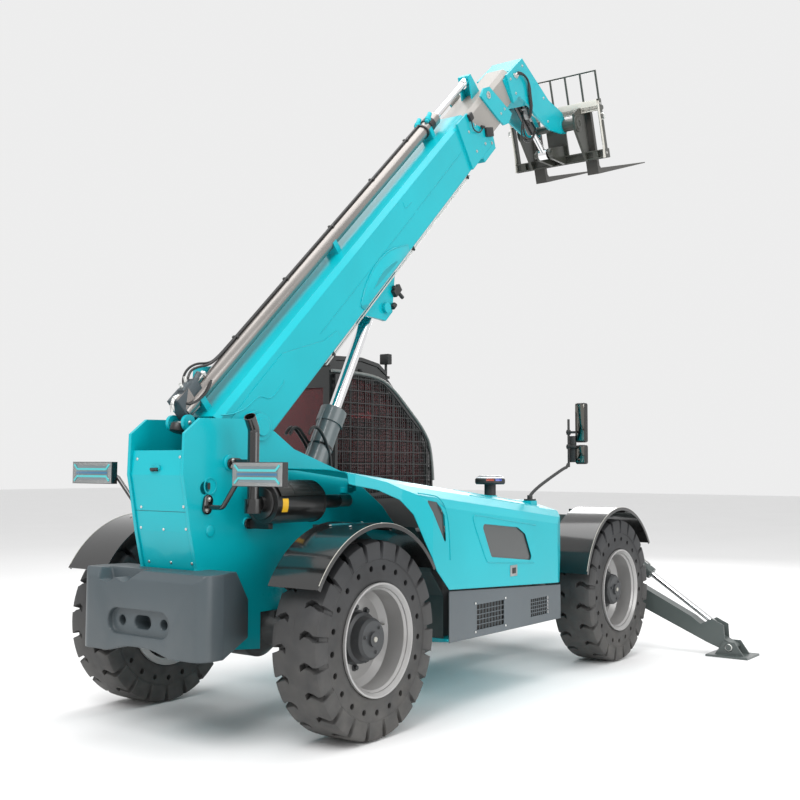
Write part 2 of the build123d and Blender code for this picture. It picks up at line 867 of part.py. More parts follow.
def extension_rod():
    up = extension_axis_up
    rear = extension_barrel_front - 3110
    body = round_bar((rear, 0, up), (extension_rod_front, 0, up), extension_rod_radius)
    body += round_bar((extension_rod_front - 70, 0, up), (extension_rod_front, 0, up), 42)
    return in_boom(body)


def inner_boom():
    body = boom_tube(inner_half_width, inner_low, inner_high, inner_wall, section_bevel, inner_rear, inner_front)
    gap = pad_gap
    start, end = inner_rear, inner_rear + pad_length
    for side in (1, -1):
        y_low, y_high = sorted((side * (inner_half_width - 1), side * (middle_half_width - middle_wall - gap)))
        body += block(start, end, y_low, y_high, inner_low + 10, inner_high - section_bevel - 10)
    body += block(start, end, -80, 80, middle_low + middle_wall + gap, inner_low + 1)
    body += block(start, end, -70, 70, inner_high - 1, middle_high - middle_wall - gap)
    # goose-neck head, two side plates closed by a back and a front web
    side_outline = [
        (4858, 172),
        (5250, 156),
        (5464, -408),
        (5640, -640),
        (5650, -780),
        (5600, -836),
        (5480, -800),
        (5280, -643),
        (5113, -395),
        (5068, -278),
        (4940, -91),
        (4800, -91),
    ]
    for side in (1, -1):
        y_low, y_high = sorted((side * (head_half_width - head_plate), side * head_half_width))
        body += side_slab(side_outline, y_low, y_high)
        y_low, y_high = sorted((side * (inner_half_width - 1), side * (head_half_width - head_plate + 1)))
        body += block(4810, 4950, y_low, y_high, -80, 150)
    web_in = head_half_width - head_plate + 1
    front_web = [(4960, 170), (5250, 156), (5464, -408), (5446, -416), (5236, 140), (4960, 154)]
    body += side_slab(front_web, -web_in, web_in)
    back_web = [(4962, -91), (5048, -243), (5066, -235), (4980, -82)]
    body += side_slab(back_web, -web_in, web_in)
    body += block(4955, 4975, -web_in, web_in, -84, 165)
    pivot = (head_pivot_along, head_pivot_up)
    for side in (1, -1):
        y_low, y_high = sorted((side * (head_half_width - head_plate), side * (head_half_width + 8)))
        body += cross_bar(*pivot, 78, y_low, y_high)
    body -= cross_bar(*pivot, head_pin_radius + running_clearance, -300, 300)
    # lugs and pin stubs of the tilt cylinder
    body += cross_bar(*tilt_top, 34, -web_in, web_in)
    return in_boom(body)


# Tilt cylinder, in the head, from an upper cross pin to the carriage's crank
def tilt_axis():
    top = Vector(tilt_top[0], 0, tilt_top[1])
    crank = Vector(tilt_crank[0], 0, tilt_crank[1])
    return top, crank, (crank - top).normalized()


def tilt_barrel():
    top, crank, way = tilt_axis()
    end = top + way * tilt_barrel_length
    body = round_bar(tuple(top + way * 30), tuple(end), tilt_barrel_radius)
    body += cross_bar(*tilt_top, 62, -60, 60)
    body -= cross_bar(*tilt_top, 34 + running_clearance, -80, 80)
    start = top + way * 110
    past = end + way * 5
    body -= round_bar(tuple(start), tuple(past), tilt_rod_radius + running_clearance)
    return in_boom(body)


def tilt_rod():
    top, crank, way = tilt_axis()
    start = crank - way * tilt_rod_length
    body = round_bar(tuple(start), tuple(crank), tilt_rod_radius)
    body += cross_bar(*tilt_crank, 52, -45, 45)
    return in_boom(body)


# Carriage, drawn about its pivot with the forks level
def at_carriage(piece):
    x, z = boom_point(head_pivot_along, head_pivot_up)
    return Pos(x, 0, z) * Rot(0, -fork_pitch, 0) * piece


def carriage_local(along, up):
    # a boom point as seen from the carriage's pivot, in the carriage's own level frame
    turn = radians(boom_angle - fork_pitch)
    along = along - head_pivot_along
    up = up - head_pivot_up
    return along * cos(turn) - up * sin(turn), along * sin(turn) + up * cos(turn)


def carriage():
    wide = carriage_half_width
    face = carriage_face
    body = block(face - 70, face + 35.7, -wide, wide, carriage_low, carriage_low + 95)
    body += block(face - 60, face, -wide, wide, carriage_high - 60, carriage_high)
    for side in (1, -1):
        y_low, y_high = sorted((side * (wide - 26), side * wide))
        body += block(face - 60, face, y_low, y_high, carriage_low, carriage_high + 60)
        # round plates that carry the pivot tube
        y_low, y_high = sorted((side * 300, side * 326))
        cheek = [(-70, -60), (-50, 110), (60, 150), (face - 20, 150), (face - 20, -390), (face - 110, -390)]
        body += side_slab(cheek, y_low, y_high, 25)
        # pivot tube outside the head plates
        y_low, y_high = sorted((side * (head_half_width + 8 + part_gap), side * 301))
        body += cross_bar(0, 0, 62, y_low, y_high)
    body += cross_bar(0, 0, head_pin_radius, -310, 310)
    # shaft that the forks hang on
    body += cross_bar(face + 12, carriage_high - 30, 24, -wide, wide)
    # crank lugs of the tilt rod, below and behind the pivot
    crank_x, crank_z = carriage_local(*tilt_crank)
    for side in (1, -1):
        y_low, y_high = sorted((side * 54, side * 84))
        lug = [
            (crank_x - 45, crank_z + 20),
            (crank_x, crank_z + 55),
            (face - 60, carriage_low + 200),
            (face - 60, carriage_low + 10),
            (face - 120, carriage_low + 10),
            (crank_x, crank_z - 50),
        ]
        body += side_slab(lug, y_low, y_high)
        y_low, y_high = sorted((side * 54, side * 104))
        body += cross_bar(crank_x, crank_z, 30, y_low, y_high)
    body += block(face - 70, face - 46, -110, 110, carriage_low, carriage_high)
    # load backrest of thin bars
    top = backrest_high
    low = carriage_high - 10
    bar = backrest_bar
    body += block(face - 40, face - 40 + bar, -wide, wide, top - bar, top)
    bars = 7
    for index in range(bars):
        y = -wide + bar / 2 + (2 * wide - bar) * index / (bars - 1)
        body += block(face - 40, face - 40 + bar, y - bar / 2, y + bar / 2, low, top)
    return at_carriage(body)


def forks():
    pieces = []
    face = carriage_face
    shank_top = carriage_high - 8
    for side in (1, -1):
        y = side * fork_spacing
        blade = [
            (face + 40, fork_sole),
            (face + 40 + fork_length, fork_sole + 12),
            (face + 40 + fork_length, fork_sole + 22),
            (face + 60 + fork_thick, fork_sole + fork_thick + 8),
            (face + 36 + fork_thick, fork_sole + fork_thick + 34),
            (face + 36 + fork_thick, shank_top),
            (face + 36, shank_top),
            (face + 36, fork_sole + 5),
        ]
        blade_body = side_slab(blade, y - fork_width / 2, y + fork_width / 2)
        pieces.append(blade_body)
    return pieces


def forks_node():
    bodies = []
    for blade in forks():
        bodies.append(at_carriage(blade))
    return Compound(children=bodies)


# Stabilisers, drawn for the left side in the plane of the front cross member
def stabiliser_mount():
    plane = stabiliser_plane
    half = arm_thickness / 2
    front = plane + half + part_gap + 22
    body = block(4330.3, 4350, -540, 540, 590, 1230)
    for side in (1, -1):
        for x_low, x_high in ((plane - half - part_gap - 16, plane - half - part_gap), (plane + half + part_gap, front)):
            plate = [
                (side * 200, 600),
                (side * 540, 600),
                (side * 560, 780),
                (side * 450, 900),
                (side * 430, 1180),
                (side * 350, 1240),
                (side * 250, 1200),
                (side * 200, 900),
            ]
            body += front_slab(plate, x_low, x_high)
        body += round_bar((4331, side * arm_pivot_y, arm_pivot_z), (front + 12, side * arm_pivot_y, arm_pivot_z), 36)
        body += round_bar((4331, side * strut_top_y, strut_top_z), (front + 12, side * strut_top_y, strut_top_z), 24)
    body += block(4331, front, -200, 200, 620, 700)
    body += block(4331, front, -200, 200, 980, 1010)
    body += block(4331, plane - half - part_gap, -230, 230, 700, 720)
    return body


def arm():
    half = arm_thickness / 2
    low = stabiliser_plane - half
    high = stabiliser_plane + half
    way = Vector(0, foot_pivot_y - arm_pivot_y, foot_pivot_z - arm_pivot_z).normalized()
    across = Vector(0, -way.Z, way.Y)

    def at(along, up):
        base = Vector(0, arm_pivot_y, arm_pivot_z)
        point = base + way * along + across * up
        return point.Y, point.Z

    length = hypot(foot_pivot_y - arm_pivot_y, foot_pivot_z - arm_pivot_z)
    outline = [
        at(-62, -70),
        at(-62, 70),
        at(200, 96),
        at(length - 430, 74),
        at(length - 320, 54),
        at(length - 60, 40),
        at(length + 44, 40),
        at(length + 44, -44),
        at(length - 200, -66),
        at(200, -96),
    ]
    body = front_slab(outline, low, high, 24)
    body -= round_bar((low - 5, arm_pivot_y, arm_pivot_z), (high + 5, arm_pivot_y, arm_pivot_z), 36 + running_clearance)
    body -= round_bar((low - 5, foot_pivot_y, foot_pivot_z), (high + 5, foot_pivot_y, foot_pivot_z), 26 + running_clearance)
    for x_low, x_high in ((low, low + strut_lug_plate), (high - strut_lug_plate, high)):
        lug = [at(length - 330, 40), at(length - 250, 150), at(length - 130, 150), at(length - 60, 20)]
        body += front_slab(lug, x_low, x_high)
        body += round_bar((x_low, strut_foot_y, strut_foot_z), (x_high, strut_foot_y, strut_foot_z), 34)
    return body


def strut_run():
    top = Vector(stabiliser_plane, strut_top_y, strut_top_z)
    foot = Vector(stabiliser_plane, strut_foot_y, strut_foot_z)
    return top, foot, (foot - top).normalized()


def strut_barrel():
    top, foot, way = strut_run()
    end = top + way * strut_barrel_length
    body = round_bar(tuple(top + way * 26), tuple(end), strut_barrel_radius)
    body += round_bar((stabiliser_plane - 42, top.Y, top.Z), (stabiliser_plane + 42, top.Y, top.Z), 44)
    body -= round_bar((stabiliser_plane - 60, top.Y, top.Z), (stabiliser_plane + 60, top.Y, top.Z), 24 + running_clearance)
    start = top + way * 60
    past = end + way * 5
    body -= round_bar(tuple(start), tuple(past), strut_rod_radius + running_clearance)
    return body


def strut_rod():
    top, foot, way = strut_run()
    length = (foot - top).length
    start = top + way * (length - strut_rod_length)
    body = round_bar(tuple(start), tuple(foot - way * 20), strut_rod_radius)
    body += round_bar((stabiliser_plane - 30, foot.Y, foot.Z), (stabiliser_plane + 30, foot.Y, foot.Z), 32)
    return body


def foot():
    half = arm_thickness / 2
    low = stabiliser_plane - half - part_gap
    high = stabiliser_plane + half + part_gap
    y = foot_pivot_y
    body = block(stabiliser_plane - foot_width / 2, stabiliser_plane + foot_width / 2, y - 190, y + 190, 0, foot_plate)
    cheek = [(y - 130, foot_plate - 1), (y + 130, foot_plate - 1), (y + 48, foot_pivot_z + 50), (y - 48, foot_pivot_z + 50)]
    body += front_slab(cheek, low - 20, low)
    body += front_slab(cheek, high, high + 20)
    body += round_bar((low - 34, y, foot_pivot_z), (high + 34, y, foot_pivot_z), 26)
    return body


# Cab on the left
def cab_outline(inset):
    return [
        (1222 + inset, cab_floor_z),
        (1222 + inset, 2500 - inset),
        (1300, 2552 - inset),
        (1640, 2568 - inset),
        (1865, 2536 - inset),
        (1975, 2478 - inset),
        (2230 - inset * 0.7, 2277 - inset * 0.7),
        (2545 - inset * 0.8, 2045 - inset * 0.7),
        (2675 - inset, 1847),
        (2690 - inset, 1525),
        (2600 - inset, 1250),
        (2540 - inset, cab_floor_z),
    ]


def cab_shell():
    inner, outer = cab_inner_side, cab_outer_side
    wall = cab_wall
    body = side_slab(cab_outline(0), inner, outer)
    body -= side_slab(
        [(x, z if z > cab_floor_z + 1 else cab_floor_z + wall) for x, z in cab_outline(wall)],
        inner + wall,
        outer - wall,
    )
    # windscreen, roof window, rear window, and the right side window behind the guard
    body -= block(2400, 2800, inner + pillar_width, outer - pillar_width, 1330, 1990)
    body -= block(1990, 2560, inner + pillar_width, outer - pillar_width, 2075, 2460)
    body -= block(1180, 1300, inner + pillar_width, outer - pillar_width, 1450, 2330)
    window = [(1300, 1520), (2590, 1520), (2570, 1860), (2470, 1985), (1930, 2390), (1300, 2440)]
    body -= side_slab(window, inner - 5, inner + wall + 5, 40)
    # doorway in the left side
    body -= side_slab(door_outline(-6), outer - wall - 5, outer + 5)
    # hinge pins of the door, each between two lugs
    for z in door_hinge_heights:
        top = z + door_hinge_length
        body += round_bar((door_hinge_x, door_hinge_y, z - 5), (door_hinge_x, door_hinge_y, top + 5), hinge_pin_radius)
        for low in (z - 14, top + 0.4):
            body += block(door_hinge_x - 11, door_hinge_x + 11, outer - 1, door_hinge_y + 11, low, low + 13.6)
    return body


def door_outline(inset):
    return [
        (1330 + inset, 1000 + inset),
        (1330 + inset, 2420 - inset),
        (1900 - inset, 2400 - inset),
        (2130 - inset, 2230 - inset),
        (2130 - inset, 1180 + inset),
        (2020 - inset, 1000 + inset),
    ]


def door():
    outer = cab_outer_side
    body = side_slab(door_outline(0), outer - 38, outer, 30)
    pane = [(1400, 1460), (1400, 2350), (1870, 2335), (2060, 2190), (2060, 1460)]
    body -= side_slab(pane, outer - 50, outer + 5, 30)
    lower = [(1400, 1080), (1400, 1390), (2060, 1390), (2060, 1200), (1990, 1080)]
    body -= side_slab(lower, outer - 50, outer + 5, 30)
    # handle
    body += block(2068, 2092, outer - 2, outer + 26, 1420, 1560)
    # hinge leaves at the rear edge
    for z in door_hinge_heights:
        top = z + door_hinge_length
        body += round_bar((door_hinge_x, door_hinge_y, z), (door_hinge_x, door_hinge_y, top), door_hinge_radius)
        body += block(door_hinge_x, 1362, outer + 2, outer + 14, z, top)
        body += block(1336, 1362, outer - 5, outer + 14, z, top)
        start = (door_hinge_x, door_hinge_y, z - 5)
        body -= round_bar(start, (door_hinge_x, door_hinge_y, top + 5), hinge_pin_radius + running_clearance)
    return body


def cab_roof():
    # roof cap over the shell, a little wider than its walls
    outline = [
        (1215, 2505),
        (1222, 2560),
        (1300, 2590),
        (1640, 2604),
        (1880, 2570),
        (1985, 2508),
        (1975, 2484),
        (1865, 2540),
        (1640, 2572),
        (1300, 2556),
        (1240, 2512),
    ]
    return side_slab(outline, cab_inner_side - 8, cab_outer_side + 8)


def seat():
    y = 700
    body = block(1500, 2000, y - 240, y + 240, 1180, 1290)
    back = [(1430, 1240), (1510, 1240), (1430, 1830), (1350, 1830)]
    body += side_slab(back, y - 220, y + 220)
    body += block(1560, 1940, y - 170, y + 170, cab_floor_z + cab_wall, 1181)
    return body


def steering_column():
    y = 700
    base = (2400, y, cab_floor_z + cab_wall + 40)
    top = (2200, y, 1560)
    body = round_bar(base, top, 34)
    way = (Vector(*top) - Vector(*base)).normalized()
    wheel = Plane(origin=top, z_dir=way) * Torus(185, 15)
    spokes = Plane(origin=top, z_dir=way)
    body += wheel
    for angle in (90, 210, 330):
        body += spokes * Rot(0, 0, angle) * Pos(92, 0, 0) * Box(185, 26, 12)
    body += block(2350, 2470, y - 120, y + 120, cab_floor_z + cab_wall, 1240)
    return body


def cab_guard():
    # bar cage over the right window, standing off the wall on feet
    y_low = cab_inner_side - 34
    y_high = y_low + guard_bar
    body = None
    frame = [(1262, 1420), (1262, 2440), (1560, 2475), (1778, 2461), (1940, 2420), (2060, 2350), (2290, 2180), (2520, 2020)]
    frame += [(2650, 1830), (2660, 1500)]
    inner_frame = [(x + (30 if x < 1500 else -20), z - 28 if z > 1600 else z + 28) for x, z in frame]
    ring = side_slab(frame, y_low, y_high)
    ring -= side_slab(inner_frame, y_low - 5, y_high + 5)
    body = ring
    left, right, low, high = 1262, 2660, 1420, 2475
    clip = side_slab(frame, y_low - 5, y_high + 5)
    bars = None
    step = 100
    x = left + step
    while x < right:
        bar = block(x - 4, x + 4, y_low + 2, y_high - 2, low, high)
        bars = bar if bars is None else bars + bar
        x += step
    z = low + step
    while z < high:
        bars += block(left, right, y_low + 2, y_high - 2, z - 4, z + 4)
        z += step
    body += bars & clip
    for x, z in ((1275, 1440), (1275, 2380), (1900, 2425), (2530, 1990), (2652, 1560)):
        body += block(x - 12, x + 12, y_high - 1, cab_inner_side - 0.3, z - 12, z + 12)
    return body


def left_tank():
    # fuel tank and steps under the cab
    low = side_tray_z + side_tray_sheet
    body = block(960, 2560, 330, side_tray_outer, low, cab_floor_z - 0.3)
    # step recess before the tank's middle
    body -= block(1640, 2120, 800, 1100, low + 40, low + 215)
    body -= block(1640, 2120, 880, 1100, low + 235, 950)
    return body


# What stands on the hood
def beacon():
    x, y, z = beacon_x, beacon_y, beacon_z + 0.3
    body = Pos(x, y, z) * Cylinder(46, 90, align=(Align.CENTER, Align.CENTER, Align.MIN))
    dome = [(0, z + 88), (112, z + 88), (120, z + 100), (120, z + 128), (100, z + 150), (0, z + 158)]
    body += Pos(x, y, 0) * revolve(Plane.XZ * polygon(dome), Axis.Z)
    return body


def mirrors():
    x, y, z = mirror_x, mirror_y, mirror_z + 0.3
    arm = bent_tube([(x, y, z + 10), (x + 10, y - 20, z + 60), (2780, -1090, 1740), (2790, -1098, 2240)], 13, 30)
    body = arm + block(x - 45, x + 45, y - 35, y + 35, z, z + 42)
    body += block(2740, 2775, -1200, -1000, 2000, 2225)
    body += block(2740, 2775, -1180, -1020, 1850, 1980)
    for z in (1915, 2110):
        body += block(2770, 2800, -1110, -1085, z - 20, z + 20)
    return body


def rear_lamps():
    body = None
    for side in (1, -1):
        y = side * 760
        lamp = block(-745, -700, y - 205, y + 205, 1575, 1722)
        lens_edge = block(-750, -744, y - 190, y + 190, 1590, 1707)
        lamp -= lens_edge
        foot = side_slab([(-700, 1410), (-634, 1410), (-634, 1502), (-700, 1502)], *sorted((side * 260.3, side * 276)), 30)
        tube = bent_tube(
            [(-667, side * 270, 1440), (-667, side * 400, 1440), (-690, side * 560, 1620), (-690, side * 760, 1640)],
            16,
            50,
        )
        piece = lamp + foot + tube + block(-705, -675, y - 20, y + 20, 1620, 1660)
        body = piece if body is None else body + piece
    return body


def place_left(piece, x, y):
    return Pos(x, y, wheel_radius) * piece


def mirrored(piece):
    return mirror(piece, Plane.XZ)


pieces = {
    "main_frame": main_frame(),
    "rear_cover": rear_cover(),
    "counterweight": counterweight(),
    "engine": engine(),
    "hood": hood(),
    "side_skirt": side_skirt(),
    "arch_liner": arch_liner(),
    "muffler": muffler(),
    "heat_shield": heat_shield(),
    "exhaust_pipe": exhaust_pipe(),
    "outer_boom": outer_boom(),
    "extension_barrel": extension_barrel(),
    "middle_boom": middle_boom(),
    "extension_rod": extension_rod(),
    "inner_boom": inner_boom(),
    "tilt_barrel": tilt_barrel(),
    "tilt_rod": tilt_rod(),
    "carriage": carriage(),
    "forks": forks_node(),
    "stabiliser_mount": stabiliser_mount(),
    "cab_shell": cab_shell(),
    "cab_door": door(),
    "cab_roof": cab_roof(),
    "seat": seat(),
    "steering_column": steering_column(),
    "cab_guard": cab_guard(),
    "fuel_tank": left_tank(),
    "beacon": beacon(),
    "mirrors": mirrors(),
    "rear_lamps": rear_lamps(),
}

# Lift cylinder, from the frame to the lugs under the boom
lift_top_x, lift_top_z = boom_point(lift_pin_along, lift_pin_up)


def lift_run():
    low = Vector(lift_foot_x, 0, lift_foot_z)
    top = Vector(lift_top_x, 0, lift_top_z)
    return low, top, (top - low).normalized()


def lift_barrel():
    low, top, way = lift_run()
    end = low + way * lift_barrel_length
    body = round_bar(tuple(low + way * 40), tuple(end), lift_barrel_radius)
    body += round_bar(tuple(end - way * 120), tuple(end), lift_barrel_radius + 12)
    body += cross_bar(lift_foot_x, lift_foot_z, 88, -100, 100)
    body -= cross_bar(lift_foot_x, lift_foot_z, lift_pin_radius + running_clearance, -130, 130)
    start = low + way * 130
    past = end + way * 5
    body -= round_bar(tuple(start), tuple(past), lift_rod_radius + running_clearance)
    return body


def lift_rod():
    low, top, way = lift_run()
    start = top - way * lift_rod_length
    body = round_bar(tuple(start), tuple(top - way * 20), lift_rod_radius)
    body += cross_bar(lift_top_x, lift_top_z, lift_eye_radius, -lift_eye_half_width, lift_eye_half_width)
    return body


pieces["lift_barrel"] = lift_barrel()
pieces["lift_rod"] = lift_rod()

# Axles, wheels and knuckles
tyre_body = tyre()
rim_body = rim()
hub_body = hub()
axle_body = axle()
for end, x, steer_side, angles in (
    ("rear", 0, 1, rear_fender_angles),
    ("front", wheelbase, -1, front_fender_angles),
):
    housing = axle_body + steering_cylinder(steer_side * steer_cylinder_reach)
    pieces[f"{end}_axle"] = Pos(x, 0, wheel_radius) * housing
    left_knuckle = knuckle(angles)
    for side, name in ((1, "left"), (-1, "right")):
        group = {
            "knuckle": place_left(left_knuckle, x, kingpin_offset),
            "tyre": place_left(tyre_body, x, tyre_middle),
            "rim": place_left(rim_body, x, tyre_middle),
            "hub": place_left(hub_body, x, tyre_middle),
        }
        for kind, piece in group.items():
            pieces[f"{kind}_{end}_{name}"] = piece if side == 1 else mirrored(piece)

# Stabilisers
for side, name in ((1, "left"), (-1, "right")):
    group = {
        "stabiliser_arm": arm(),
        "stabiliser_barrel": strut_barrel(),
        "stabiliser_rod": strut_rod(),
        "stabiliser_foot": foot(),
    }
    for kind, piece in group.items():
        pieces[f"{kind}_{name}"] = piece if side == 1 else mirrored(piece)

os.makedirs("parts", exist_ok=True)
for name, piece in pieces.items():
    export_step(Pos(-middle_from_rear_axle, 0, 0) * piece, f"parts/{name}.step")
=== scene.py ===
import json
import math

import bpy
from mathutils import Matrix, Vector


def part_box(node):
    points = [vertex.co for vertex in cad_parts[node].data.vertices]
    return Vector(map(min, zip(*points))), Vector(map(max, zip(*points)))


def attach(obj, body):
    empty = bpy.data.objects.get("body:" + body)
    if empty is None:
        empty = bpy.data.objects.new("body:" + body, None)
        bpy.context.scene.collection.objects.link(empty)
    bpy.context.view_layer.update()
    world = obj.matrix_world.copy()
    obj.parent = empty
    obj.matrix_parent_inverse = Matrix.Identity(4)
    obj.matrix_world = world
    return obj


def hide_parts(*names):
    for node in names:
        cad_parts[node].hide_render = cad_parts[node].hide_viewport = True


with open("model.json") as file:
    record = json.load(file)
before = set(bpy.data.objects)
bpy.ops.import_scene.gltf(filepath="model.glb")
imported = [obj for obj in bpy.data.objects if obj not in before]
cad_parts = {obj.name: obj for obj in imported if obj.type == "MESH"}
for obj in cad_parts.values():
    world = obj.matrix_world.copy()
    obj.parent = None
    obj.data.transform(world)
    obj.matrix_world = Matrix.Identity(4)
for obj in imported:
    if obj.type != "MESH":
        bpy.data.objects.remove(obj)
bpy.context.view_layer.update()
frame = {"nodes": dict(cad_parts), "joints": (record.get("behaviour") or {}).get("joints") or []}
joints = {joint["name"]: joint for joint in frame["joints"]}
print("frame loaded")


# places: metres, x measured from the rear axle
def middleOf(node):
    low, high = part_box(node)
    return (low + high) / 2


rearAxleX = middleOf("tyre_rear_left").x
wheelbase = middleOf("tyre_front_left").x - rearAxleX
wheelHeight = middleOf("tyre_rear_left").z
tyreMiddle = middleOf("tyre_rear_left").y


def at(x, y, z):
    return Vector((x + rearAxleX, y, z))


boomPivot = Vector(joints["boom_lift"]["pos_m"])
boomWay = Vector(joints["boom_extend"]["axis"]).normalized()
boomRise = Vector((-boomWay.z, 0, boomWay.x))


def onBoom(along, up, y=0.0):
    return boomPivot + boomWay * along + boomRise * up + Vector((0, y, 0))


forkPitch = math.radians(17.5)  # the forks' tilt as parked
carriagePivot = Vector(joints["carriage_tilt"]["pos_m"])
forkWay = Vector((math.cos(forkPitch), 0, math.sin(forkPitch)))
forkRise = Vector((-math.sin(forkPitch), 0, math.cos(forkPitch)))


# materials
finishShape = {
    "coatRough": 0.08, "roughSpread": 0.06, "grainDepth": 0.002,
    "dustHeight": 1.1, "dustBlotch": 9.0, "dustColour": (0.30, 0.28, 0.25, 1),
}
glassShape = {"ior": 1.45, "clear": 0.8, "rough": (0.03, 0.08), "haze": 3.0, "shade": 0.8}


def newMaterial(name):
    material = bpy.data.materials.new(name)
    material.use_nodes = True
    return material, material.node_tree.nodes, material.node_tree.links


def finishMaterial(name, colour, rough, metal=0.0, coat=0.0, spread=0.08, patch=1.6, grain=260.0, bump=0.03,
                   edge=0.0, dust=0.0, specular=0.5):
    # painted or bare metal: colour wanders in soft patches, fine grain as bump, corners catch the light
    material, made, links = newMaterial(name)
    shader = made["Principled BSDF"]
    shader.inputs["Metallic"].default_value = metal
    shader.inputs["Coat Weight"].default_value = coat
    shader.inputs["Coat Roughness"].default_value = finishShape["coatRough"]
    shader.inputs["Specular IOR Level"].default_value = specular
    place = made.new("ShaderNodeTexCoord")
    patches = made.new("ShaderNodeTexNoise")
    patches.inputs["Scale"].default_value = patch
    patches.inputs["Detail"].default_value = 5
    links.new(place.outputs["Object"], patches.inputs["Vector"])
    ramp = made.new("ShaderNodeValToRGB")
    ramp.color_ramp.elements[0].position = 0.3
    ramp.color_ramp.elements[1].position = 0.7
    ramp.color_ramp.elements[0].color = [part * (1 - spread) for part in colour] + [1]
    ramp.color_ramp.elements[1].color = [min(1, part * (1 + spread)) for part in colour] + [1]
    links.new(patches.outputs["Fac"], ramp.inputs["Fac"])
    top = ramp.outputs["Color"]
    if dust:
        # pale dust low on the machine, thinning out with height
        split = made.new("ShaderNodeSeparateXYZ")
        links.new(place.outputs["Object"], split.inputs["Vector"])
        height = made.new("ShaderNodeMapRange")
        height.inputs["From Min"].default_value = 0.0
        height.inputs["From Max"].default_value = finishShape["dustHeight"]
        height.inputs["To Min"].default_value = dust
        height.inputs["To Max"].default_value = 0.0
        links.new(split.outputs["Z"], height.inputs["Value"])
        blotch = made.new("ShaderNodeTexNoise")
        blotch.inputs["Scale"].default_value = finishShape["dustBlotch"]
        blotch.inputs["Detail"].default_value = 8
        links.new(place.outputs["Object"], blotch.inputs["Vector"])
        amount = made.new("ShaderNodeMath")
        amount.operation = "MULTIPLY"
        links.new(height.outputs["Result"], amount.inputs[0])
        links.new(blotch.outputs["Fac"], amount.inputs[1])
        mix = made.new("ShaderNodeMixRGB")
        mix.inputs["Color2"].default_value = finishShape["dustColour"]
        links.new(amount.outputs["Value"], mix.inputs["Fac"])
        links.new(top, mix.inputs["Color1"])
        top = mix.outputs["Color"]
    links.new(top, shader.inputs["Base Color"])
    fine = made.new("ShaderNodeTexNoise")
    fine.inputs["Scale"].default_value = grain
    fine.inputs["Detail"].default_value = 4
    links.new(place.outputs["Object"], fine.inputs["Vector"])
    sheen = made.new("ShaderNodeMapRange")
    sheen.inputs["To Min"].default_value = max(0.02, rough - finishShape["roughSpread"])
    sheen.inputs["To Max"].default_value = min(1, rough + finishShape["roughSpread"])
    links.new(patches.outputs["Fac"], sheen.inputs["Value"])
    links.new(sheen.outputs["Result"], shader.inputs["Roughness"])
    relief = made.new("ShaderNodeBump")
    relief.inputs["Strength"].default_value = bump
    relief.inputs["Distance"].default_value = finishShape["grainDepth"]
    links.new(fine.outputs["Fac"], relief.inputs["Height"])
    if edge:
        rounding = made.new("ShaderNodeBevel")
        rounding.inputs["Radius"].default_value = edge
        rounding.samples = 4
        links.new(rounding.outputs["Normal"], relief.inputs["Normal"])
    links.new(relief.outputs["Normal"], shader.inputs["Normal"])
    return material


def glassMaterial(name, colour):
    material, made, links = newMaterial(name)
    shader = made["Principled BSDF"]
    shader.inputs["Transmission Weight"].default_value = glassShape["clear"]
    shader.inputs["IOR"].default_value = glassShape["ior"]
    place = made.new("ShaderNodeTexCoord")
    haze = made.new("ShaderNodeTexNoise")
    haze.inputs["Scale"].default_value = glassShape["haze"]
    links.new(place.outputs["Object"], haze.inputs["Vector"])
    ramp = made.new("ShaderNodeValToRGB")
    ramp.color_ramp.elements[0].color = [part * glassShape["shade"] for part in colour] + [1]
    ramp.color_ramp.elements[1].color = list(colour) + [1]
    links.new(haze.outputs["Fac"], ramp.inputs["Fac"])
    links.new(ramp.outputs["Color"], shader.inputs["Base Color"])
    sheen = made.new("ShaderNodeMapRange")
    sheen.inputs["To Min"].default_value, sheen.inputs["To Max"].default_value = glassShape["rough"]
    links.new(haze.outputs["Fac"], sheen.inputs["Value"])
    links.new(sheen.outputs["Result"], shader.inputs["Roughness"])
    return material


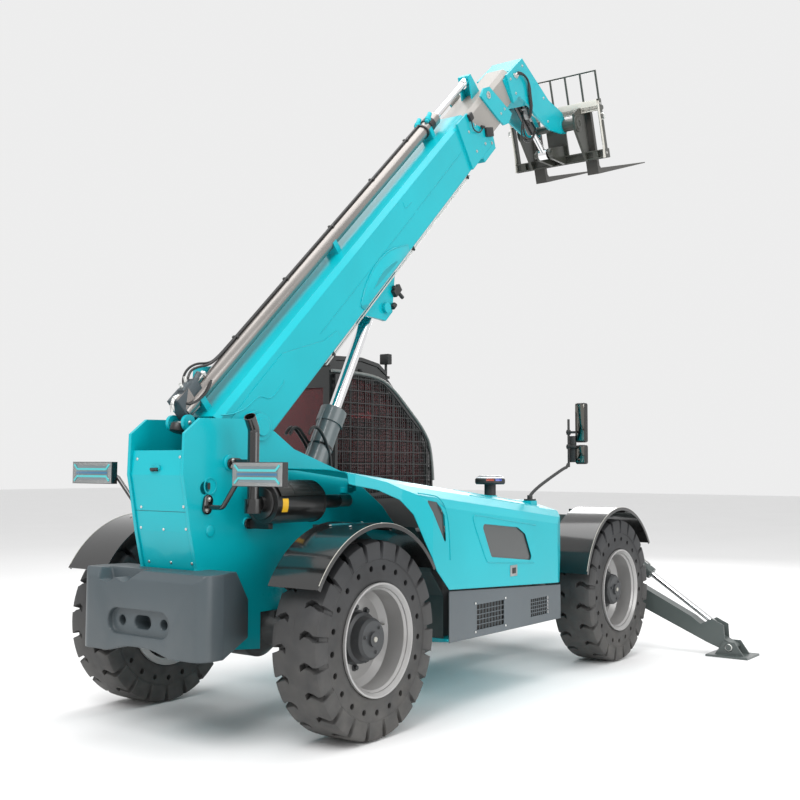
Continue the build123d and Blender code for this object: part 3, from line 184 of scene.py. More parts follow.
teal = (0.0, 0.37, 0.43)
looks = {
    "tealPaint": finishMaterial("tealPaint", teal, 0.3, coat=0.22, spread=0.05, bump=0.015, edge=0.008,
                                specular=0.3),
    "slateCasting": finishMaterial("slateCasting", (0.048, 0.064, 0.073), 0.36, grain=150, bump=0.25,
                                   edge=0.02, dust=0.2),
    "greySkirt": finishMaterial("greySkirt", (0.070, 0.088, 0.100), 0.36, bump=0.05, edge=0.004, dust=0.15),
    "blackGloss": finishMaterial("blackGloss", (0.008, 0.008, 0.008), 0.16, coat=0.7, bump=0.01,
                                 edge=0.003),
    "darkLiner": finishMaterial("darkLiner", (0.012, 0.03, 0.032), 0.4, bump=0.05, dust=0.2),
    "boomGrey": finishMaterial("boomGrey", (0.27, 0.255, 0.235), 0.38, bump=0.04, edge=0.006),
    "cylinderGrey": finishMaterial("cylinderGrey", (0.10, 0.12, 0.125), 0.3, coat=0.3, bump=0.02,
                                   edge=0.003),
    "brushedGrey": finishMaterial("brushedGrey", (0.30, 0.28, 0.265), 0.27, metal=0.85, bump=0.03,
                                  edge=0.003),
    "chromeRod": finishMaterial("chromeRod", (0.85, 0.85, 0.86), 0.07, metal=1.0, spread=0.02, bump=0.005),
    "zincSteel": finishMaterial("zincSteel", (0.62, 0.62, 0.60), 0.3, metal=1.0, bump=0.03),
    "oliveGrey": finishMaterial("oliveGrey", (0.040, 0.042, 0.034), 0.38, coat=0.2, bump=0.05, edge=0.004),
    "paleGrey": finishMaterial("paleGrey", (0.55, 0.53, 0.48), 0.35, bump=0.04, edge=0.004),
    "forkSteel": finishMaterial("forkSteel", (0.045, 0.043, 0.038), 0.4, bump=0.06, edge=0.004),
    "tyreRubber": finishMaterial("tyreRubber", (0.026, 0.027, 0.029), 0.58, spread=0.25, patch=5,
                                 grain=90, bump=0.12,
                                 edge=0.006, dust=0.35, specular=0.35),
    "rimSilver": finishMaterial("rimSilver", (0.34, 0.335, 0.33), 0.30, metal=0.35, coat=0.3,
                                bump=0.03, edge=0.004),
    "hubDark": finishMaterial("hubDark", (0.030, 0.033, 0.036), 0.45, bump=0.1, edge=0.006, dust=0.1),
    "axleDark": finishMaterial("axleDark", (0.016, 0.018, 0.02), 0.5, bump=0.12, dust=0.25),
    "cabBlack": finishMaterial("cabBlack", (0.012, 0.014, 0.014), 0.3, coat=0.3, bump=0.02, edge=0.005),
    "blackPlastic": finishMaterial("blackPlastic", (0.014, 0.014, 0.014), 0.5, grain=400, bump=0.12,
                                   edge=0.003),
    "seatVinyl": finishMaterial("seatVinyl", (0.020, 0.020, 0.021), 0.55, patch=8, grain=320, bump=0.3),
    "engineGrey": finishMaterial("engineGrey", (0.12, 0.12, 0.12), 0.5, bump=0.15, edge=0.006),
    "muffler": finishMaterial("muffler", (0.010, 0.010, 0.010), 0.3, coat=0.3, bump=0.06, edge=0.003),
    "shieldMetal": finishMaterial("shieldMetal", (0.035, 0.035, 0.033), 0.3, metal=0.7, bump=0.05),
    "stabiliserGrey": finishMaterial("stabiliserGrey", (0.062, 0.078, 0.076), 0.36, coat=0.2,
                                     bump=0.04, edge=0.005, dust=0.1),
    "hoseRubber": finishMaterial("hoseRubber", (0.010, 0.010, 0.010), 0.42, grain=500, bump=0.15),
    "mirrorGlass": finishMaterial("mirrorGlass", (0.16, 0.155, 0.14), 0.06, metal=1.0, spread=0.02,
                                  bump=0.0),
    "lampMetal": finishMaterial("lampMetal", (0.30, 0.31, 0.31), 0.3, metal=0.6, bump=0.04, edge=0.002),
    "lampStrip": finishMaterial("lampStrip", (0.16, 0.21, 0.23), 0.14, metal=0.5, coat=1.0, bump=0.01),
    "lampTeal": finishMaterial("lampTeal", (0.06, 0.50, 0.52), 0.14, metal=0.3, coat=1.0, bump=0.01),
    "labelYellow": finishMaterial("labelYellow", (0.72, 0.42, 0.02), 0.4, bump=0.01),
    "railGrey": finishMaterial("railGrey", (0.20, 0.21, 0.20), 0.35, metal=0.3, bump=0.02),
    # darker teal: painted shade for the recess of the boom's slot and on its gusset
    "tealPaintedShade": finishMaterial("tealPaintedShade", (0.004, 0.26, 0.30), 0.3, bump=0.015),
    "lampBlue": finishMaterial("lampBlue", (0.03, 0.16, 0.30), 0.12, metal=0.4, coat=1.0, bump=0.01),
    "beaconClear": finishMaterial("beaconClear", (0.72, 0.74, 0.78), 0.12, coat=1.0, bump=0.01),
    "beaconRed": finishMaterial("beaconRed", (0.45, 0.05, 0.02), 0.2, coat=0.8, bump=0.01),
    "beaconBlue": finishMaterial("beaconBlue", (0.02, 0.06, 0.40), 0.2, coat=0.8, bump=0.01),
    "cabGlass": glassMaterial("cabGlass", (0.26, 0.07, 0.08)),
    "hoodGlass": finishMaterial("hoodGlass", (0.055, 0.06, 0.06), 0.2, coat=0.4, grain=600, bump=0.1),
    # pale trim: the wheel plug's own colour, and painted highlight on the fenders' lips
    "paleTrimAndHighlight": finishMaterial("paleTrimAndHighlight", (0.36, 0.35, 0.31), 0.35, bump=0.02),
    # black, painted as the shade inside holes and slots and behind grilles
    "openingShadeBlack": finishMaterial("openingShadeBlack", (0.02, 0.02, 0.02), 0.6, bump=0.1),
}
print("materials ready:", len(looks))

# the finish of each piece of the frame, by the first words of its name
nodeLooks = {
    "main_frame": "tealPaint", "rear_cover": "tealPaint", "hood": "tealPaint", "outer_boom": "tealPaint",
    "inner_boom": "tealPaint", "middle_boom": "boomGrey", "counterweight": "slateCasting",
    "side_skirt": "greySkirt", "fuel_tank": "greySkirt", "arch_liner": "darkLiner",
    "engine": "engineGrey", "muffler": "muffler", "heat_shield": "shieldMetal", "exhaust_pipe": "blackGloss",
    "cab_guard": "cabBlack", "cab": "cabBlack", "seat": "seatVinyl", "steering_column": "blackPlastic",
    "rear_lamps": "blackGloss", "beacon": "blackPlastic", "mirrors": "blackPlastic",
    "extension_barrel": "brushedGrey", "extension_rod": "chromeRod",
    "lift_barrel": "cylinderGrey", "lift_rod": "chromeRod", "tilt_barrel": "blackGloss",
    "tilt_rod": "chromeRod", "carriage": "oliveGrey", "forks": "forkSteel",
    "stabiliser": "stabiliserGrey", "stabiliser_mount": "stabiliserGrey", "stabiliser_rod": "chromeRod",
    "tyre": "tyreRubber", "rim": "rimSilver", "hub": "hubDark", "knuckle": "blackGloss",
    "front_axle": "axleDark", "rear_axle": "axleDark",
}


def lookOf(node):
    fitting = [key for key in nodeLooks if node == key or node.startswith(key + "_")]
    return looks[nodeLooks[max(fitting, key=len)]]


for name, piece in frame["nodes"].items():
    piece.data.materials.clear()
    piece.data.materials.append(lookOf(name))


def paintFaces(node, look, chosen):
    # a second finish on the faces of a piece that lie where chosen says
    piece = frame["nodes"][node]
    piece.data.materials.append(looks[look])
    for face in piece.data.polygons:
        if chosen(Vector(face.center)):
            face.material_index = len(piece.data.materials) - 1


def boomLocal(point):
    offset = point - boomPivot
    return offset.dot(boomWay), offset.dot(boomRise)


paintLimits = {"noseStart": 4.2, "noseHalf": 0.161, "middleTop": 0.262, "headStart": 4.9, "innerHalf": 0.134,
               "barrelFoot": -0.22}


def onMiddleNose(point):
    return boomLocal(point)[0] > paintLimits["noseStart"] and abs(point.y) > paintLimits["noseHalf"]


def onInnerSection(point):
    return boomLocal(point)[0] < paintLimits["headStart"] and abs(point.y) < paintLimits["innerHalf"]


paintFaces("middle_boom", "tealPaint", onMiddleNose)
paintFaces("middle_boom", "tealPaint", lambda point: boomLocal(point)[1] > paintLimits["middleTop"])
paintFaces("inner_boom", "boomGrey", onInnerSection)
paintFaces("extension_barrel", "slateCasting", lambda point: boomLocal(point)[0] < paintLimits["barrelFoot"])


# modelling helpers
def clearSelection():
    bpy.ops.object.select_all(action="DESELECT")


def selectOnly(piece):
    clearSelection()
    piece.select_set(True)
    bpy.context.view_layer.objects.active = piece


def normalsOut():
    # from edit mode: every face turned outwards, and back to object mode
    bpy.ops.mesh.select_all(action="SELECT")
    bpy.ops.mesh.normals_make_consistent(inside=False)
    bpy.ops.object.mode_set(mode="OBJECT")


def settle(piece):
    # the piece's place goes into its mesh, so its object stands at the origin
    selectOnly(piece)
    bpy.ops.object.transform_apply(location=True, rotation=True, scale=True)
    return piece


def roundEdges(piece, width, segments=2, angle=30):
    bevel = piece.modifiers.new("edges", "BEVEL")
    bevel.width = width
    bevel.segments = segments
    bevel.limit_method = "ANGLE"
    bevel.angle_limit = math.radians(angle)
    bpy.context.view_layer.objects.active = piece
    bpy.ops.object.modifier_apply(modifier="edges")


def block(low, high, rounding=0.003):
    low, high = Vector(low), Vector(high)
    clearSelection()
    bpy.ops.mesh.primitive_cube_add(size=1, location=(low + high) / 2, scale=high - low)
    piece = settle(bpy.context.object)
    if rounding:
        roundEdges(piece, rounding)
    return piece


def rod(start, end, radius, sides=24, rounding=0.0, topRadius=None):
    start, end = Vector(start), Vector(end)
    run = end - start
    clearSelection()
    bpy.ops.mesh.primitive_cone_add(
        vertices=sides, radius1=radius, radius2=radius if topRadius is None else topRadius, depth=run.length,
        location=(start + end) / 2, rotation=run.to_track_quat("Z", "Y").to_euler())
    piece = settle(bpy.context.object)
    if rounding:
        roundEdges(piece, rounding)
    return piece


def plate(points, depth, rounding=0.0):
    # a closed outline of points, extruded by the vector depth
    clearSelection()
    bpy.ops.mesh.primitive_circle_add(vertices=len(points), radius=1, fill_type="NGON")
    piece = bpy.context.object
    for vertex, point in zip(piece.data.vertices, points):
        vertex.co = point
    bpy.ops.object.mode_set(mode="EDIT")
    bpy.ops.mesh.select_all(action="SELECT")
    bpy.ops.mesh.extrude_region_move(TRANSFORM_OT_translate={"value": depth})
    normalsOut()
    if rounding:
        roundEdges(piece, rounding)
    return piece


def tube(points, radius, sides=5, smooth=True):
    # a hose or pipe along its points
    clearSelection()
    bpy.ops.curve.primitive_nurbs_path_add()
    piece = bpy.context.object
    piece.data.splines.clear()
    spline = piece.data.splines.new("NURBS")
    spline.points.add(len(points) - 1)
    for spot, point in zip(spline.points, points):
        spot.co = (*point, 1)
    spline.order_u = 3 if smooth else 2
    spline.use_endpoint_u = True
    spline.resolution_u = 8
    piece.data.bevel_depth = radius
    piece.data.bevel_resolution = sides
    piece.data.use_fill_caps = True
    selectOnly(piece)
    bpy.ops.object.convert(target="MESH")
    return settle(bpy.context.object)


def joined(parts):
    clearSelection()
    for part in parts:
        part.select_set(True)
    bpy.context.view_layer.objects.active = parts[0]
    if len(parts) > 1:
        bpy.ops.object.join()
    return bpy.context.view_layer.objects.active


def placed(piece, matrix):
    piece.data.transform(matrix)
    return piece


def copyOf(piece, matrix=None):
    selectOnly(piece)
    bpy.ops.object.duplicate(linked=False)
    twin = bpy.context.object
    if matrix is not None:
        twin.data.transform(matrix)
        if matrix.determinant() < 0:
            twin.data.flip_normals()
    return twin


def finish(piece, name, look, body, replaced=(), angle=35):
    piece.name = name
    piece.data.name = name
    if not piece.data.materials:
        piece.data.materials.append(looks[look])
    selectOnly(piece)
    bpy.ops.object.shade_smooth_by_angle(angle=math.radians(angle))
    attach(piece, body)
    if replaced:
        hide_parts(*replaced)
    return piece


def paint(piece, look):
    piece.data.materials.clear()
    piece.data.materials.append(looks[look])
    return piece


def turnTo(normal):
    return Vector(normal).to_track_quat("Z", "Y").to_matrix().to_4x4()


def boltHead(radius, height):
    # a hexagon head on its washer, standing up +Z
    washer = rod((0, 0, 0), (0, 0, height * 0.25), radius * 1.5, 16)
    head = rod((0, 0, height * 0.2), (0, 0, height), radius, 6, radius * 0.12)
    return joined([washer, head])


def domeHead(radius, height):
    # a round button head
    clearSelection()
    bpy.ops.mesh.primitive_cylinder_add(vertices=16, radius=radius, depth=height, location=(0, 0, height / 2))
    head = settle(bpy.context.object)
    roundEdges(head, height * 0.7, 3)
    return head


def spread(master, spots):
    # copies of the master at each (point, normal), joined as one piece
    copies = [copyOf(master, Matrix.Translation(point) @ turnTo(normal)) for point, normal in spots]
    bpy.data.objects.remove(master)
    return joined(copies)


# camera, light and floor
view = {
    "place": (-8.082, -5.255, 1.701), "yaw": 36.39, "pitch": 4.27, "roll": 0.25,
    "lens": 49.29, "shiftX": 0.0181, "shiftY": -0.0195,
}


def setCamera():
    yaw = math.radians(view["yaw"])
    pitch = math.radians(view["pitch"])
    ahead = Vector((math.cos(yaw) * math.cos(pitch), math.sin(yaw) * math.cos(pitch), math.sin(pitch)))
    clearSelection()
    bpy.ops.object.camera_add(location=view["place"])
    camera = bpy.context.object
    turn = ahead.to_track_quat("-Z", "Y").to_matrix().to_4x4()
    roll = Matrix.Rotation(math.radians(view["roll"]), 4, "Z")
    camera.matrix_world = Matrix.Translation(view["place"]) @ turn @ roll
    camera.data.sensor_width = 36
    camera.data.lens = view["lens"]
    camera.data.shift_x = view["shiftX"]
    camera.data.shift_y = view["shiftY"]
    bpy.context.scene.camera = camera


lights = [
    # name, place, aimed at, size, watts
    ("leftKey", (-9.0, -2.0, 9.0), (-0.5, 0, 2.0), 6.0, 800),
    ("sideFill", (-1.0, -10.0, 4.5), (0, 0, 1.5), 7.0, 400),
    ("overhead", (1.0, 0.5, 10.5), (0.5, 0, 2.0), 8.0, 480),
    ("frontRim", (9.0, 3.5, 6.0), (1.0, 0, 2.0), 5.0, 350),
]


def setLights():
    for name, place, aim, size, watts in lights:
        clearSelection()
        bpy.ops.object.light_add(type="AREA", location=place)
        lamp = bpy.context.object
        lamp.name = name
        lamp.data.size = size
        lamp.data.energy = watts
        lamp.rotation_euler = (Vector(aim) - Vector(place)).to_track_quat("-Z", "Y").to_euler()
    bpy.context.scene.view_settings.view_transform = "Standard"
    world = bpy.data.worlds.new("studio")
    bpy.context.scene.world = world
    world.use_nodes = True
    sky = world.node_tree.nodes["Background"]
    sky.inputs["Color"].default_value = (1, 1, 1, 1)
    sky.inputs["Strength"].default_value = 0.85


def setFloor():
    clearSelection()
    bpy.ops.mesh.primitive_plane_add(size=120, location=(0, 0, 0))
    floor = bpy.context.object
    floor.name = "studioFloor"
    material, made, links = newMaterial("studioFloor")
    shader = made["Principled BSDF"]
    place = made.new("ShaderNodeTexCoord")
    grain = made.new("ShaderNodeTexNoise")
    grain.inputs["Scale"].default_value = 0.6
    ramp = made.new("ShaderNodeValToRGB")
    ramp.color_ramp.elements[0].color = (0.80, 0.80, 0.80, 1)
    ramp.color_ramp.elements[1].color = (0.84, 0.84, 0.84, 1)
    links.new(place.outputs["Object"], grain.inputs["Vector"])
    links.new(grain.outputs["Fac"], ramp.inputs["Fac"])
    links.new(ramp.outputs["Color"], shader.inputs["Base Color"])
    shader.inputs["Roughness"].default_value = 0.7
    floor.data.materials.append(material)


setCamera()
setLights()
setFloor()
print("camera, lights and floor set")


def moved(points, offset):
    return [Vector(point) + Vector(offset) for point in points]


def made(shaper, entry, offset):
    # a block, rod or ring from its entry (start, end, sizes), moved by offset
    return shaper(*moved(entry[:2], offset), *entry[2:])


# tyres: solid rubber with deep side lugs and a ring of round holes in each wall
tyreShape = {
    "pitches": 21, "radius": 0.620, "width": 0.360,
    "columnEdges": (0.0, 0.045, 0.085, 0.215, 0.255, 0.34, 0.45, 0.56, 0.67, 0.78, 0.89, 0.95, 1.0),
    "grooveColumns": (2, 3), "grooveDepth": 0.048,
    "shoulder": 0.170, "wallShare": 0.6, "wallStart": 0.160, "wallPull": 0.022,  # a groove down the wall
    "hook": 0.16, "hookStart": 0.050, "hookLength": 0.090,  # the lugs' edges run in a shallow hook
    "lean": 0.55, "leanEnd": 0.085, "leanLimit": 0.060, "ribHalf": 0.031,
    "holes": 21, "holeRing": 0.446, "holeRadius": 0.0190, "holeDepth": 0.050,
    "holeOut": 0.020, "holeSides": 12, "weld": 0.0004,
}


def tyreProfile():
    # (radius, y, groove share) from the middle of the tread down to the rim seat, for the outer half
    outer = tyreShape["radius"]
    half = tyreShape["width"] / 2
    tread = [
        (outer, 0.0, 0.0), (outer, 0.030, 0.0), (outer, 0.052, 0.0), (outer, 0.054, 1.0),
        (outer - 0.001, 0.085, 1.0), (outer - 0.002, 0.120, 1.0),
    ]
    wall = [  # down from the tread, in from the tyre's face, groove share
        (0.005, 0.030, 1.0), (0.012, 0.012, 1.0), (0.026, 0.006, 1.0), (0.048, 0.005, 0.8),
        (0.080, 0.005, 0.45), (0.112, 0.006, 0.25), (0.120, 0.008, 0.0), (0.126, 0.015, 0.0),
        (0.150, 0.018, 0.0), (0.185, 0.018, 0.0), (0.215, 0.016, 0.0), (0.226, 0.012, 0.0),
        (0.240, 0.009, 0.0), (0.258, 0.011, 0.0), (0.266, 0.016, 0.0), (0.297, 0.017, 0.0),
    ]
    return tread + [(outer - down, half - inward, share) for down, inward, share in wall]


def tyreSegment():
    # one pitch of one half: a grid whose columns run round the tyre and whose rows follow the profile
    shape = tyreShape
    profile = tyreProfile()
    columns, rows = len(shape["columnEdges"]) - 1, len(profile) - 1
    pitch = 2 * math.pi / shape["pitches"]
    clearSelection()
    bpy.ops.mesh.primitive_grid_add(x_subdivisions=columns, y_subdivisions=rows, size=2)
    segment = bpy.context.object
    for vertex in segment.data.vertices:
        column = round((vertex.co.x + 1) / 2 * columns)
        radius, y, share = profile[round((vertex.co.y + 1) / 2 * rows)]
        if column in shape["grooveColumns"]:
            depth = shape["grooveDepth"] * share
            radius -= depth if y < shape["shoulder"] else depth * shape["wallShare"]
            if y > shape["wallStart"]:
                y -= shape["wallPull"] * share
        skew = 0.0
        if y >= shape["ribHalf"] and (share or y < shape["leanLimit"]):
            reach = min(1.0, max(0.0, y - shape["hookStart"]) / shape["hookLength"])
            skew = shape["hook"] * math.sin(reach * math.pi) + shape["lean"] * max(0.0, shape["leanEnd"] - y)
        angle = (shape["columnEdges"][column] + skew) * pitch
        vertex.co = (radius * math.sin(angle), y, radius * math.cos(angle))
    return segment


def drillWalls(tyre):
    # round holes in both walls
    shape = tyreShape
    wall = shape["width"] / 2
    drills = []
    for index in range(shape["holes"]):
        angle = 2 * math.pi * (index + 0.5) / shape["holes"]
        spot = Vector((math.sin(angle), 0, math.cos(angle))) * shape["holeRing"]
        for side in (1, -1):
            start = spot + Vector((0, side * (wall - shape["holeDepth"]), 0))
            end = spot + Vector((0, side * (wall + shape["holeOut"]), 0))
            drills.append(rod(start, end, shape["holeRadius"], shape["holeSides"]))
    drill = joined(drills)
    cut = tyre.modifiers.new("holes", "BOOLEAN")
    cut.operation = "DIFFERENCE"
    cut.object = drill
    bpy.context.view_layer.objects.active = tyre
    bpy.ops.object.modifier_apply(modifier="holes")
    bpy.data.objects.remove(drill)


def makeTyre():
    segment = tyreSegment()
    pitch = 2 * math.pi / tyreShape["pitches"]
    copies = []
    for index in range(tyreShape["pitches"]):
        copies.append(copyOf(segment, Matrix.Rotation(index * pitch, 4, "Y")))
        otherHalf = Matrix.Rotation((index + 0.5) * pitch, 4, "Y") @ Matrix.Scale(-1, 4, (0, 1, 0))
        copies.append(copyOf(segment, otherHalf))
    bpy.data.objects.remove(segment)
    tyre = joined(copies)
    bpy.ops.object.mode_set(mode="EDIT")
    bpy.ops.mesh.select_all(action="SELECT")
    bpy.ops.mesh.remove_doubles(threshold=tyreShape["weld"])
    bpy.ops.mesh.select_all(action="DESELECT")
    bpy.ops.mesh.select_non_manifold(extend=False, use_wire=False, use_multi_face=False,
                                     use_non_contiguous=False, use_verts=False)
    bpy.ops.mesh.bridge_edge_loops()
    normalsOut()
    drillWalls(tyre)
    return tyre


wheelShape = {
    "rimOverhang": 0.006, "discDepth": 0.205, "noseReach": 0.150,
    "nuts": 10, "nutRing": 0.190, "nut": (0.016, 0.026),
    "faceBolts": 3, "faceRing": 0.088, "faceBolt": (0.009, 0.010), "facePhase": 0.35,
    "plug": (0.014, 0.022, 0.017), "seam": (-0.002, 0.012, 0.172),  # from, to, radius
    "valve": ((0.262, 0.003, 0.050), (0.262, 0.045, 0.055)), "valveRadius": 0.006,
}


def wheelRing(count, radius, y, phase=0.0):
    # places round the wheel's axis, each facing outwards
    turns = [2 * math.pi * (index + phase) / count for index in range(count)]
    return [(Vector((math.sin(turn) * radius, y, math.cos(turn) * radius)), (0, 1, 0)) for turn in turns]


def wheelDetail():
    # nuts round the hub, drain plug and face bolts, drawn for a wheel whose outside is +Y
    shape = wheelShape
    disc = tyreShape["width"] / 2 + shape["rimOverhang"] - shape["discDepth"]
    nose = disc + shape["noseReach"]
    nuts = spread(boltHead(*shape["nut"]), wheelRing(shape["nuts"], shape["nutRing"], disc))
    faceSpots = wheelRing(shape["faceBolts"], shape["faceRing"], nose, shape["facePhase"])
    faceBolts = spread(boltHead(*shape["faceBolt"]), faceSpots)
    low, high, radius = shape["plug"]
    plug = rod((0, nose + low, 0), (0, nose + high, 0), radius, 24, 0.002)
    low, high, radius = shape["seam"]
    seam = rod((0, disc + low, 0), (0, disc + high, 0), radius, 48, 0.003)
    valve = rod(*moved(shape["valve"], (0, disc, 0)), shape["valveRadius"], 10)
    dark = [paint(piece, "hubDark") for piece in (nuts, faceBolts, seam)]
    return joined(dark + [paint(plug, "paleTrimAndHighlight"), paint(valve, "zincSteel")])


def makeWheels():
    tyre = makeTyre()
    detail = wheelDetail()
    for end, x in (("rear", 0.0), ("front", wheelbase)):
        for side, sign in (("left", 1), ("right", -1)):
            middle = at(x, sign * tyreMiddle, wheelHeight)
            place = Matrix.Translation(middle) @ Matrix.Scale(sign, 4, (0, 1, 0))
            body = f"{end}_{side}_wheel"
            finish(copyOf(tyre, place), f"tyreLugs_{end}_{side}", "tyreRubber", body,
                   (f"tyre_{end}_{side}",), 28)
            finish(copyOf(detail, place), f"wheelBolts_{end}_{side}", "hubDark", body)
    bpy.data.objects.remove(tyre)
    bpy.data.objects.remove(detail)
    print("wheels made")


makeWheels()


# more modelling helpers, for sheet work and for pieces drawn in the boom's or the carriage's own directions
def ring(start, end, outer, inner, sides=32):
    # a round collar with a hole, from start to end
    start, end = Vector(start), Vector(end)
    run = end - start
    clearSelection()
    bpy.ops.mesh.primitive_circle_add(vertices=sides, radius=outer, fill_type="NOTHING")
    piece = bpy.context.object
    bpy.ops.object.mode_set(mode="EDIT")
    bpy.ops.mesh.select_all(action="SELECT")
    bpy.ops.mesh.duplicate()
    bpy.ops.transform.resize(value=(inner / outer, inner / outer, 1))
    bpy.ops.mesh.select_all(action="SELECT")
    bpy.ops.mesh.bridge_edge_loops()
    bpy.ops.mesh.select_all(action="SELECT")
    bpy.ops.mesh.extrude_region_move(TRANSFORM_OT_translate={"value": (0, 0, run.length)})
    normalsOut()
    return placed(piece, Matrix.Translation(start) @ turnTo(run))


def bentSheet(ends, middle, radius, angles, thickness, columns=24):
    # a sheet bent round a line along x, between two angles counted from the machine's left side upwards
    clearSelection()
    bpy.ops.mesh.primitive_grid_add(x_subdivisions=1, y_subdivisions=columns, size=2)
    piece = bpy.context.object
    for vertex in piece.data.vertices:
        turn = math.radians(angles[0] + (angles[1] - angles[0]) * (vertex.co.y + 1) / 2)
        x = ends[0] + (ends[1] - ends[0]) * (vertex.co.x + 1) / 2
        vertex.co = at(x, middle[0] + radius * math.cos(turn), middle[1] + radius * math.sin(turn))
    wall = piece.modifiers.new("wall", "SOLIDIFY")
    wall.thickness = thickness
    wall.offset = 0
    bpy.ops.object.modifier_apply(modifier="wall")
    bpy.ops.object.mode_set(mode="EDIT")
    normalsOut()
    return piece


def ownFrame(way, rise, origin):
    turned = Matrix((way, Vector((0, 1, 0)), rise)).transposed().to_4x4()
    return Matrix.Translation(origin) @ turned


boomFrame = ownFrame(boomWay, boomRise, boomPivot)
forkFrame = ownFrame(forkWay, forkRise, carriagePivot)


def outline(points, y):
    # points (along, up) of a side view, at y, in the boom's or the carriage's own directions
    return [Vector((along, y, up)) for along, up in points]


def machineOutline(points, y):
    # points (x, z) of a side view, at y
    return [at(x, y, z) for x, z in points]


def machineBlock(low, high, rounding=0.003):
    return block(at(*low), at(*high), rounding)


def machineRod(start, end, radius, sides=24, rounding=0.0):
    return rod(at(*start), at(*end), radius, sides, rounding)


def machineTube(points, radius, sides):
    return tube([at(*point) for point in points], radius, sides)


def stadium(length, width, steps=10):
    # outline of a plate with round ends, flat at z 0, its long way along x
    radius = width / 2
    reach = length / 2 - radius
    points = []
    for side in (1, -1):
        for step in range(steps + 1):
            turn = math.pi * (step / steps - 0.5)
            points.append(Vector((reach + radius * math.cos(turn), radius * math.sin(turn), 0)) * side)
    return points


def between(points, x):
    # the height at x of a line through points, level past its last point
    for (nearX, nearZ), (farX, farZ) in zip(points, points[1:]):
        if x <= farX:
            return nearZ + (farZ - nearZ) * (x - nearX) / (farX - nearX)
    return points[-1][1]


# the rear cover between the tower plates, and what is bolted to the right plate
towerShape = {
    "coverEdge": [(1.795, -0.842), (1.640, -0.856), (1.498, -0.826), (1.285, -0.786), (1.040, -0.722)],
    "coverScrews": [
        (0.187, 1.740), (-0.204, 1.752), (0.178, 1.435), (-0.212, 1.445), (0.204, 1.303), (-0.006, 1.298),
        (-0.210, 1.306), (0.184, 1.085), (-0.021, 1.089), (-0.210, 1.091),
    ],
    "screw": (0.0095, 0.005), "seamHeight": 1.412, "seamHalf": 0.0012, "seamDepth": 0.004, "coverHalf": 0.232,
    "latch": (0.017, 1.674), "latchFoot": ((-0.010, -0.032, -0.012), (0.002, 0.032, 0.012), 0.003),
    "latchBar": ((-0.018, -0.045, 0.004), (-0.018, 0.020, 0.002), 0.008, 12, 0.003),
    "latchStem": ((0, 0, 0), (-0.022, 0, 0), 0.011, 12, 0.003),
    "plateSide": -0.260, "sink": 0.001, "clampThickness": 0.016,
    "recess": (-0.639, 1.571), "recessOut": 0.005, "recessRadii": (0.056, 0.047),
    "slot": (-0.012, 0.044, 0.024), "slotDepth": (0.0005, 0.002),
    "crescent": (-0.633, 1.290), "crescentSize": (0.038, 0.008),
    "clamps": [
        {"middle": (-0.667, 1.456), "shift": (0, 0), "size": (0.125, 0.075), "lean": 80, "out": 0,
         "bolts": [(0.006, 0.034), (-0.012, -0.034)]},
        {"middle": (-0.473, 1.719), "shift": (0.030, -0.006), "size": (0.130, 0.074), "lean": 0, "out": 0.014,
         "bolts": [(0, -0.022), (0.004, 0.014)], "boss": (0.052, 40)},
        {"middle": (-0.307, 1.328), "shift": (0.030, -0.004), "size": (0.130, 0.070), "lean": 0, "out": 0.012,
         "bolts": [(0.052, -0.004)], "boss": (0.037, 32)},
    ],
    "bolt": (0.010, 0.010),
}


def coverX(z):
    edge = towerShape["coverEdge"]
    for (highZ, highX), (lowZ, lowX) in zip(edge, edge[1:]):
        if z >= lowZ:
            break
    return lowX + (highX - lowX) * (z - lowZ) / (highZ - lowZ)


def coverNormal(z):
    slope = (coverX(z + 0.01) - coverX(z - 0.01)) / 0.02
    return Vector((-1, 0, slope)).normalized()


def onPlate(spot, out=0.0, shift=(0, 0)):
    return at(spot[0] + shift[0], towerShape["plateSide"] - out, spot[1] + shift[1])


def clampPlate(clamp):
    # a black plate with round ends on the tower's right side, turned by its lean in degrees
    piece = plate(stadium(*clamp["size"]), (0, 0, towerShape["clampThickness"]), 0.003)
    stand = Matrix.Rotation(math.radians(90), 4, "X")
    lean = Matrix.Rotation(math.radians(-clamp["lean"]), 4, "Y")
    spot = onPlate(clamp["middle"], towerShape["sink"] + clamp["out"], clamp["shift"])
    return placed(piece, Matrix.Translation(spot) @ lean @ stand)


def makeCover():
    shape = towerShape
    spots = [(at(coverX(z), y, z) - coverNormal(z) * shape["sink"], coverNormal(z))
             for y, z in shape["coverScrews"]]
    finish(spread(domeHead(*shape["screw"]), spots), "coverScrews", "zincSteel", "chassis")
    half, z, gap = shape["coverHalf"], shape["seamHeight"], shape["seamHalf"]
    seam = block(at(coverX(z) - gap, -half, z - gap), at(coverX(z) + shape["seamDepth"], half, z + gap), 0)
    finish(seam, "coverSeam", "darkLiner", "chassis")
    y, z = shape["latch"]
    x = coverX(z)
    latch = []
    for shaper, key in ((machineBlock, "latchFoot"), (machineRod, "latchBar"), (machineRod, "latchStem")):
        start, end, *sizes = shape[key]
        spots = [(x + along, y + wide, z + high) for along, wide, high in (start, end)]
        latch.append(shaper(*spots, *sizes))
    finish(joined(latch), "coverLatch", "blackPlastic", "chassis")


